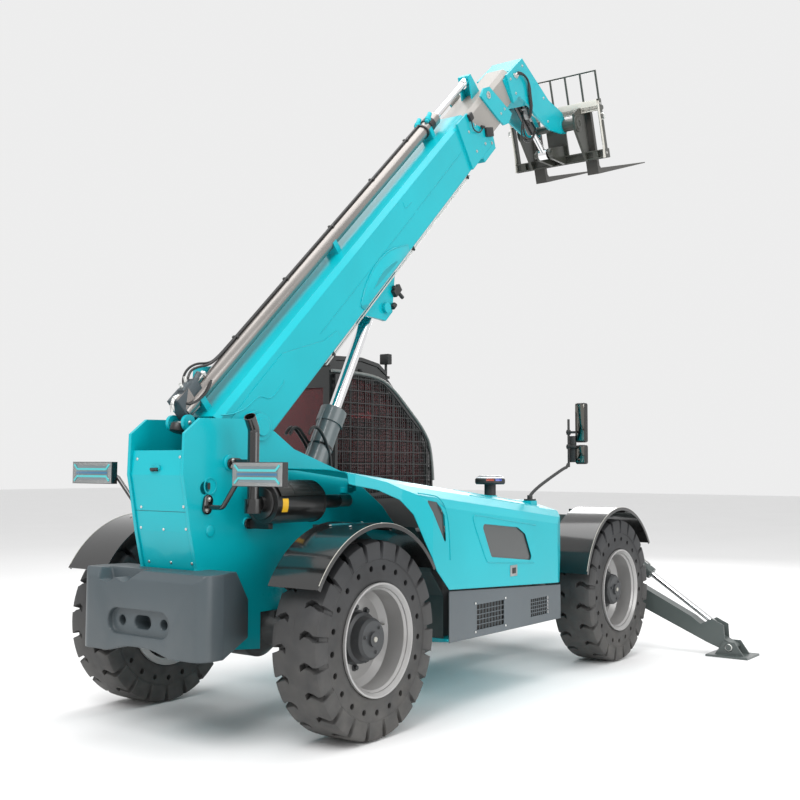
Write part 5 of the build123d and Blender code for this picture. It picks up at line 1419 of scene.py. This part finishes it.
# hood: mesh panels, pressed lines, ridges, plain latch plate and beacon dome
hoodShape = {
    "plan": [(0.060, -0.872), (0.420, -0.990), (0.700, -1.050), (2.520, -1.050), (2.640, -1.010)],
    "side": -1.050, "panelDepth": 0.004, "windowInset": 0.012, "ventInset": 0.014, "lineInset": -0.001,
    "window": [(1.337, 1.285), (1.870, 1.236), (1.985, 1.180), (2.100, 0.972), (1.475, 1.036)],
    "vent": [(0.640, 1.472), (0.766, 1.455), (0.846, 1.357), (0.868, 1.150)],
    "windowLine": [
        (2.150, 1.243), (1.700, 1.295), (1.270, 1.352), (1.210, 1.350), (1.235, 1.280), (1.330, 1.130),
        (1.400, 1.010), (1.440, 0.996), (1.700, 0.980), (2.120, 0.950),
    ],
    "ventLine": [
        (0.560, 1.520), (0.640, 1.512), (0.790, 1.490), (0.880, 1.380), (0.912, 1.200), (0.915, 1.050),
    ],
    "lineRadius": 0.0045, "ridges": (-0.800, -0.940), "ridgeEnds": (1.350, 2.400), "ridgeSteps": 11,
    "ridgeRadius": 0.006, "lookDown": 2.4,
    "box": ((2.440, -0.800, 1.330), (2.600, -0.600, 1.425), 0.020),
    "latchPlace": (1.7975, 0.9135),  # its plate and its grip, from this place on the hood's side
    "latchPlate": ((-0.0525, -0.005, -0.0415), (0.0525, 0.001, 0.0415), 0.002),
    "latch": ((-0.026, -0.009, -0.022), (0.026, -0.003, 0.022), 0.004),
    "beacon": (2.040, -0.700), "dome": (1.578, 1.622), "domeRadii": (0.1215, 0.108),
    "capRadii": (0.100, 0.085), "capHeights": (-0.004, 0.009),
    "patches": [("beaconPatchWarm", "beaconRed", (196, 226)), ("beaconPatchBlue", "beaconBlue", (232, 262))],
    "patchStep": 6, "stripTurn": 5, "patchFoot": (0.1222, 1.588), "patchTop": (0.1185, 1.606),
    "patchDepth": 0.004,
}


def hoodSide(x):
    return between(hoodShape["plan"], x)


def onHoodSide(points, inset):
    return [at(x, hoodSide(x) + inset, z) for x, z in points]


def hoodRidge(y):
    # a low ridge along the top, laid on the hood's sheet by looking down on it
    shape = hoodShape
    first, last = shape["ridgeEnds"]
    path = []
    for step in range(shape["ridgeSteps"] + 1):
        x = first + (last - first) * step / shape["ridgeSteps"]
        above = at(x, y, shape["lookDown"])
        hit, place, _, _ = frame["nodes"]["hood"].ray_cast(above, Vector((0, 0, -1)))
        if hit:
            path.append(at(x, y, place.z))
    return tube(path, shape["ridgeRadius"], 3)


def makeHood():
    shape = hoodShape
    side, depth = shape["side"], (0, shape["panelDepth"], 0)
    panels = [plate(machineOutline(shape["window"], side + shape["windowInset"]), depth),
              plate(onHoodSide(shape["vent"], shape["ventInset"]), depth)]
    finish(joined(panels), "hoodMeshPanels", "hoodGlass", "hood")
    forms = [tube(onHoodSide(shape[key], shape["lineInset"]), shape["lineRadius"], 3)
             for key in ("windowLine", "ventLine")]
    forms += [hoodRidge(y) for y in shape["ridges"]]
    forms.append(machineBlock(*shape["box"]))
    finish(joined(forms), "hoodForms", "tealPaint", "hood", angle=40)
    x, z = shape["latchPlace"]
    finish(made(block, shape["latchPlate"], at(x, side, z)), "hoodLatchPlate", "lampMetal", "hood")
    finish(made(block, shape["latch"], at(x, side, z)), "hoodLatch", "blackPlastic", "hood")
    print("hood made")


def beaconPatch(turns):
    # a plain coloured patch on the dome, in narrow strips
    shape = hoodShape
    x, y = shape["beacon"]
    (foot, low), (top, high) = shape["patchFoot"], shape["patchTop"]
    strips = []
    for turn in range(*turns, shape["patchStep"]):
        start, end = math.radians(turn), math.radians(turn + shape["stripTurn"])
        corners = [(foot, start, low), (foot, end, low), (top, end, high), (top, start, high)]
        points = [at(x + radius * math.cos(angle), y + radius * math.sin(angle), z)
                  for radius, angle, z in corners]
        strips.append(plate(points, Vector((math.cos(start), math.sin(start), 0)) * -shape["patchDepth"]))
    return joined(strips)


def makeBeacon():
    shape = hoodShape
    x, y = shape["beacon"]
    low, high = shape["dome"]
    lower, upper = shape["domeRadii"]
    dome = rod(at(x, y, low), at(x, y, high), lower, 48, 0.012, topRadius=upper)
    finish(dome, "beaconDome", "beaconClear", "hood")
    lower, upper = shape["capRadii"]
    start, end = (at(x, y, high + step) for step in shape["capHeights"])
    finish(rod(start, end, lower, 48, 0.005, topRadius=upper), "beaconCap", "lampMetal", "hood")
    for name, look, turns in shape["patches"]:
        finish(beaconPatch(turns), name, look, "hood")
    print("beacon made")


mirrorShape = {
    "x": 2.770, "y": -1.150, "half": 0.050, "housings": [(1.905, 2.235), (1.725, 1.885)],
    "housingDepth": (-0.030, 0.028), "glassDepth": (-0.0335, -0.028), "glassMargin": (0.010, 0.014),
    "arm": [(2.400, -0.860, 1.455), (2.408, -0.875, 1.500), (2.690, -1.020, 1.690), (2.725, -1.040, 1.700),
            (2.730, -1.045, 1.730)],
    "armRadius": 0.013,
    "post": ((2.730, -1.050, 1.700), (2.730, -1.050, 2.100), 0.010, 14, 0.002),
    "base": ((2.355, -0.895, 1.425), (2.445, -0.830, 1.440), 0.004),
    "socket": ((2.400, -0.862, 1.436), (2.400, -0.862, 1.470), 0.022, 20, 0.004),
    "clampHeights": (1.870, 1.990), "clamp": ((2.712, -1.125, -0.010), (2.748, -1.034, 0.010), 0.004),
    "collar": ((2.730, -1.050, -0.020), (2.730, -1.050, 0.020), 0.018, 16, 0.003),
    "bridge": ((2.735, -1.110, 1.740), (2.760, -1.050, 1.960), 0.006),
}


def makeMirrors():
    shape = mirrorShape
    x, y, half = shape["x"], shape["y"], shape["half"]
    parts = [machineTube(shape["arm"], shape["armRadius"], 5), machineRod(*shape["post"]),
             machineBlock(*shape["base"]), machineRod(*shape["socket"])]
    for z in shape["clampHeights"]:
        parts += [made(block, shape["clamp"], at(0, 0, z)), made(rod, shape["collar"], at(0, 0, z))]
    glasses = []
    side, end = shape["glassMargin"]
    for low, high in shape["housings"]:
        back, front = shape["housingDepth"]
        parts.append(machineBlock((x + back, y - half, low), (x + front, y + half, high), 0.016))
        back, front = shape["glassDepth"]
        lowCorner = (x + back, y - half + side, low + end)
        glasses.append(machineBlock(lowCorner, (x + front, y + half - side, high - end), 0.002))
    parts.append(machineBlock(*shape["bridge"]))
    finish(joined(parts), "mirrorBodies", "blackPlastic", "hood", ("mirrors",))
    finish(joined(glasses), "mirrorGlasses", "mirrorGlass", "hood")
    print("mirrors made")


makeHood()
makeBeacon()
makeMirrors()

# skirt: black sheets behind its two mesh grilles, painted as the shade seen through them, and the first
# grille's screws
skirtShape = {
    "grilleShades": [
        ((1.280, -1.022, 0.514), (1.690, -1.017, 0.714), 0.001),
        ((2.080, -1.022, 0.522), (2.396, -1.017, 0.678), 0.001),
    ],
    "screwXs": (1.270, 1.698), "screwZs": (0.512, 0.716), "face": -1.0365, "screw": (0.009, 0.005),
}


def makeSkirt():
    shape = skirtShape
    grilleShades = [machineBlock(*box) for box in shape["grilleShades"]]
    # black sheets painted as the shade behind the grilles
    finish(joined(grilleShades), "skirtGrilleShade", "openingShadeBlack", "chassis")
    spots = [(at(x, shape["face"], z), (0, -1, 0)) for x in shape["screwXs"] for z in shape["screwZs"]]
    finish(spread(domeHead(*shape["screw"]), spots), "skirtScrews", "zincSteel", "chassis")
    print("skirt made")


# fenders: a lip along the outer edge, painted pale as a highlight, and button heads on top; turns in degrees
# from the front upwards
fenderShape = {
    "radius": 0.724, "outerY": 1.136, "rear": (36, 148), "front": (34, 163), "lip": 0.0032, "steps": 24,
    "screwTurns": (78, 104), "screwYs": (0.86, 1.02), "screwOut": 0.0045, "screw": (0.010, 0.005),
}


def makeFenders():
    shape = fenderShape
    radius = shape["radius"]
    for end, x in (("rear", 0.0), ("front", wheelbase)):
        start, stop = shape[end]
        for name, side in (("left", 1), ("right", -1)):
            body = f"{end}_{name}_knuckle"
            path = []
            for step in range(shape["steps"] + 1):
                turn = math.radians(start + (stop - start) * step / shape["steps"])
                out = Vector((math.cos(turn), 0, math.sin(turn)))
                path.append(at(x, side * shape["outerY"], wheelHeight) + out * radius)
            # a pale lip, painted as the highlight along the fender's rolled edge
            finish(tube(path, shape["lip"], 3), f"fenderHighlight_{end}_{name}", "paleTrimAndHighlight", body)
            spots = []
            for turn in map(math.radians, shape["screwTurns"]):
                out = Vector((math.cos(turn), 0, math.sin(turn)))
                for y in shape["screwYs"]:
                    spots.append((at(x, side * y, wheelHeight) + out * (radius + shape["screwOut"]), out))
            finish(spread(domeHead(*shape["screw"]), spots), f"fenderScrews_{end}_{name}", "zincSteel", body)
    print("fenders trimmed")


makeSkirt()
makeFenders()

# boom head: hose bundle on its right side, hoses to the carriage, bolts, pin caps and the tilt valve
headShape = {
    "bundle": 3, "bundleStep": 0.017, "bundleRadius": 0.0095,
    "bundleRoute": [  # a point of the first hose, and by how much of a step the next one lies beside it
        ((5.020, -0.180, 0.100), (1, 0, 0)), ((5.090, -0.188, 0.070), (0.6, 0, 0)),
        ((5.165, -0.186, -0.010), (0, -0.3, -1)), ((5.170, -0.186, -0.100), (-1, 0, 0)),
        ((5.120, -0.184, -0.180), (-1, 0, 0)), ((5.080, -0.178, -0.290), (-1, 0, 0)),
        ((5.090, -0.120, -0.380), (-1, 0, 0)),
    ],
    "elbow": [((4.975, -0.162, 0.096), (1, 0, -1)), ((5.030, -0.180, 0.100), (1, 0, -0.4))],
    "nut": [((4.985, -0.158, 0.112), (1, 0, -1)), ((4.985, -0.178, 0.112), (1, 0, -1))],
    "elbowRadius": 0.012, "nutRadius": 0.016,
    "hoses": [  # radius, route
        (0.009, [(5.085, -0.060, -0.300), (4.960, -0.110, -0.330), (4.840, -0.130, -0.360),
                 (4.780, -0.120, -0.440), (4.850, -0.110, -0.540), (5.000, -0.100, -0.590),
                 (5.120, -0.095, -0.560)]),
        (0.008, [(5.080, -0.040, -0.320), (4.980, -0.090, -0.360), (4.900, -0.105, -0.410),
                 (4.880, -0.100, -0.480), (4.940, -0.100, -0.550), (5.040, -0.098, -0.575),
                 (5.120, -0.095, -0.540)]),
    ],
    "face": 0.1645, "bolts": [(5.20, 0.10), (4.90, 0.11), (4.90, -0.04), (5.38, -0.34), (5.30, -0.56)],
    "bolt": (0.009, 0.009), "pin": (5.576, -0.765), "capYs": (0.172, 0.180), "capRadius": 0.050,
    "valve": ((5.070, -0.112, -0.400), (5.140, -0.060, -0.280), 0.004),
    "valvePorts": [
        ((5.100, -0.086, -0.280), (5.092, -0.086, -0.225)),
        ((5.125, -0.086, -0.400), (5.130, -0.086, -0.450)),
    ],
    "portRadius": 0.014,
}


def shifted(route, step):
    return [Vector(point) + Vector(share) * step for point, share in route]


def makeHead():
    shape = headShape
    hoses, fittings = [], []
    for step in (index * shape["bundleStep"] for index in range(shape["bundle"])):
        hoses.append(tube(shifted(shape["bundleRoute"], step), shape["bundleRadius"], 3))
        fittings.append(rod(*shifted(shape["elbow"], step), shape["elbowRadius"], 6, 0.002))
        fittings.append(rod(*shifted(shape["nut"], step), shape["nutRadius"], 6, 0.002))
    hoses += [tube(route, radius, 3) for radius, route in shape["hoses"]]
    finish(placed(joined(hoses), boomFrame), "headHoses", "hoseRubber", "boom_inner")
    finish(placed(joined(fittings), boomFrame), "headFittings", "zincSteel", "boom_inner")
    bolts = spread(boltHead(*shape["bolt"]), bothSides(shape["bolts"], shape["face"]))
    finish(placed(bolts, boomFrame), "headBolts", "zincSteel", "boom_inner")
    along, up = shape["pin"]
    near, far = shape["capYs"]
    caps = [rod((along, side * near, up), (along, side * far, up), shape["capRadius"], 32, 0.003)
            for side in (1, -1)]
    finish(placed(joined(caps), boomFrame), "headPinCaps", "tealPaint", "boom_inner")
    valve = [block(*shape["valve"])]
    valve += [rod(*ends, shape["portRadius"], 6, 0.002) for ends in shape["valvePorts"]]
    finish(placed(joined(valve), boomFrame), "tiltValve", "lampMetal", "boom_inner")
    print("head made")


makeHead()

# fork carriage: pale side plates and beam, dark cheeks round the pivot, bright hooks and bolts
carriageShape = {
    "half": 0.520, "inset": 0.014, "sink": 0.002,
    "side": [
        (0.203, -0.386), (0.203, 0.204), (0.152, 0.204), (0.122, 0.150), (0.122, -0.220), (0.092, -0.386),
    ],
    "sideThickness": 0.012, "palePlates": [(0.118, 0.146, 0.094, 0.150), (0.118, 0.132, 0.100, 0.205)],
    "cheekYs": (0.325, 0.337), "cheekRadius": 0.088, "bossYs": (0.336, 0.343), "bossRadii": (0.060, 0.030),
    "opening": [(0.140, -0.060), (0.190, -0.130), (0.190, 0.020)], "openingDepth": 0.004,
    "footY": 0.420, "foot": ((0.100, -0.030, -0.388), (0.150, 0.030, -0.300), 0.004),
    "darkPlates": [(0.096, 0.138, -0.384, -0.372), (0.096, 0.138, -0.310, -0.298)],
    "hookX": 0.150, "hook": [(0.520, 0.060), (0.552, 0.060), (0.560, 0.030), (0.552, 0.000), (0.520, 0.000)],
    "hookRadius": 0.009, "boltX": 0.170, "boltZs": (0.160, -0.340), "bolt": (0.010, 0.010),
}


def crossPlate(size, rounding):
    # a plate from side to side of the carriage, by its ends along and up
    low, high, below, above = size
    reach = carriageShape["half"] - carriageShape["inset"]
    return block((low, -reach, below), (high, reach, above), rounding)


def makeCarriage():
    shape = carriageShape
    half = shape["half"]
    pale, dark, hooks = [], [], []
    for way in (1, -1):
        side = outline(shape["side"], way * (half - 0.001))
        pale.append(plate(side, (0, -way * shape["sideThickness"], 0), 0.002))
        near, far = shape["cheekYs"]
        dark.append(rod((0, way * near, 0), (0, way * far, 0), shape["cheekRadius"], 40, 0.003))
        near, far = shape["bossYs"]
        dark.append(ring((0, way * near, 0), (0, way * far, 0), *shape["bossRadii"], 40))
        # a dark plate over the side plate's opening, painted as the shade inside it
        opening = outline(shape["opening"], way * (half - shape["sink"]))
        dark.append(plate(opening, (0, way * shape["openingDepth"], 0), 0.001))
        dark.append(made(block, shape["foot"], (0, way * shape["footY"], 0)))
        hooks.append(tube([(shape["hookX"], way * y, z) for y, z in shape["hook"]], shape["hookRadius"], 4))
        for z in shape["boltZs"]:
            spot = (shape["boltX"], way * (half - shape["sink"]), z)
            place = Matrix.Translation(spot) @ turnTo((0, way, 0))
            hooks.append(placed(boltHead(*shape["bolt"]), place))
    pale += [crossPlate(size, 0.003) for size in shape["palePlates"]]
    dark += [crossPlate(size, 0.002) for size in shape["darkPlates"]]
    finish(placed(joined(pale), forkFrame), "carriagePlates", "paleGrey", "carriage")
    finish(placed(joined(dark), forkFrame), "carriageCheeks", "oliveGrey", "carriage")
    finish(placed(joined(hooks), forkFrame), "carriageHooks", "zincSteel", "carriage")
    print("carriage made")


# lift cylinder: dark bands round the barrel, a pipe along it and the hoses behind it
liftShape = {
    "eye": (1.800, -0.322), "radius": 0.0920, "bands": (0.115, 0.330), "bandWidth": 0.014, "bandWall": 0.004,
    "pipeOut": 0.016, "pipe": 0.009, "pipeStart": 0.350, "pipeEnd": 0.060, "pipeFoot": 0.02,
    "pipeTop": (0.02, 0.75),
    "hoseYs": (0.085, 0.125, -0.10), "hoseNarrowing": 0.9, "hoseRadius": 0.012,
    "hoseUpper": [(0.505, 1.930), (0.531, 1.984), (0.600, 1.985), (0.661, 1.928)],
    "hoseLower": [(0.725, 1.850), (0.770, 1.740), (0.770, 1.640)],
}


def makeLiftCylinder():
    shape = liftShape
    radius, wall = shape["radius"], shape["bandWall"]
    foot = Vector(joints["lift_barrel_swing"]["pos_m"])
    way = (onBoom(*shape["eye"]) - foot).normalized()
    across = Vector((0, 1, 0)).cross(way)
    reach = (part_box("lift_barrel")[1].z - foot.z - radius * abs(way.x)) / way.z
    bands = []
    for back in shape["bands"]:
        start = foot + way * (reach - back)
        bands.append(ring(start, start + way * shape["bandWidth"], radius + wall, radius - wall, 48))
    finish(joined(bands), "liftBands", "blackGloss", "lift_barrel")
    offset = -across * (radius + shape["pipeOut"])
    start, end = foot + way * shape["pipeStart"], foot + way * (reach - shape["pipeEnd"])
    further, share = shape["pipeTop"]
    route = [start + offset * shape["pipeFoot"], start + offset, end + offset,
             end + way * further + offset * share]
    finish(tube(route, shape["pipe"], 4, False), "liftPipe", "cylinderGrey", "lift_barrel")
    hoses = []
    for y in shape["hoseYs"]:
        route = machineOutline(shape["hoseUpper"], y)
        route += machineOutline(shape["hoseLower"], y * shape["hoseNarrowing"])
        hoses.append(tube(route, shape["hoseRadius"], 4))
    finish(joined(hoses), "liftHoses", "hoseRubber", "chassis")
    print("lift cylinder made")


# stabilisers: dark rings and a pipe on each cylinder, round heads on the feet's pins
stabiliserShape = {
    "plane": 4.440, "top": (0.350, 1.170), "foot": (1.690, 0.252), "barrel": 0.050,
    "rings": [(0.771, 0.846, 0.008), (0.120, 0.150, 0.007)], "ringInto": 0.006,
    "pipeOut": 0.014, "pipeRadius": 0.007, "pipeRoute": [(0.150, 0.8), (0.165, 1), (0.786, 1), (0.801, 0.8)],
    "port": ((-0.070, -0.012, -0.012), (0.070, 0.012, 0.012)), "portPlace": (0.135, 0.9),
    "pin": (1.810, 0.084), "pinHalf": 0.094, "pinHead": (0.034, 0.012),
}


def makeStabilisers():
    shape = stabiliserShape
    x, radius = shape["plane"], shape["barrel"]
    for name, side in (("left", 1), ("right", -1)):
        (topY, topZ), (footY, footZ) = shape["top"], shape["foot"]
        top = at(x, side * topY, topZ)
        way = (at(x, side * footY, footZ) - top).normalized()
        rings = [ring(top + way * near, top + way * far, radius + out, radius - shape["ringInto"], 32)
                 for near, far, out in shape["rings"]]
        body = f"stabiliser_barrel_{name}"
        finish(joined(rings), f"strutRings_{name}", "stabiliserGrey", body)
        rise = Vector((0, side * -way.z, side * way.y)) * (radius + shape["pipeOut"])
        if rise.z < 0:
            rise = -rise
        route = [top + way * far + rise * share for far, share in shape["pipeRoute"]]
        far, share = shape["portPlace"]
        port = placed(block(*shape["port"], 0.004), Matrix.Translation(top + way * far + rise * share))
        pipe = tube(route, shape["pipeRadius"], 4, False)
        finish(joined([pipe, port]), f"strutPipe_{name}", "zincSteel", body)
        heads = []
        y, z = shape["pin"]
        for end in (-1, 1):
            spot = at(x + end * shape["pinHalf"], side * y, z)
            heads.append(placed(domeHead(*shape["pinHead"]), Matrix.Translation(spot) @ turnTo((end, 0, 0))))
        finish(joined(heads), f"footPins_{name}", "zincSteel", f"stabiliser_arm_{name}")
    print("stabilisers trimmed")


counterweightShape = {"weld": 0.0002, "flat": 4, "rounding": 0.028, "segments": 4, "corner": 26}


def makeCounterweight():
    # the casting's own form again, its flat faces whole and its corners rounded
    shape = counterweightShape
    casting = copyOf(frame["nodes"]["counterweight"])
    casting.data.materials.clear()
    bpy.ops.object.mode_set(mode="EDIT")
    bpy.ops.mesh.select_all(action="SELECT")
    bpy.ops.mesh.remove_doubles(threshold=shape["weld"])
    bpy.ops.mesh.dissolve_limited(angle_limit=math.radians(shape["flat"]))
    bpy.ops.object.mode_set(mode="OBJECT")
    roundEdges(casting, shape["rounding"], shape["segments"], shape["corner"])
    finish(casting, "counterweightCasting", "slateCasting", "chassis", ("counterweight",),
           angle=40)
    print("counterweight made")


makeCarriage()
makeLiftCylinder()
makeStabilisers()
makeCounterweight()
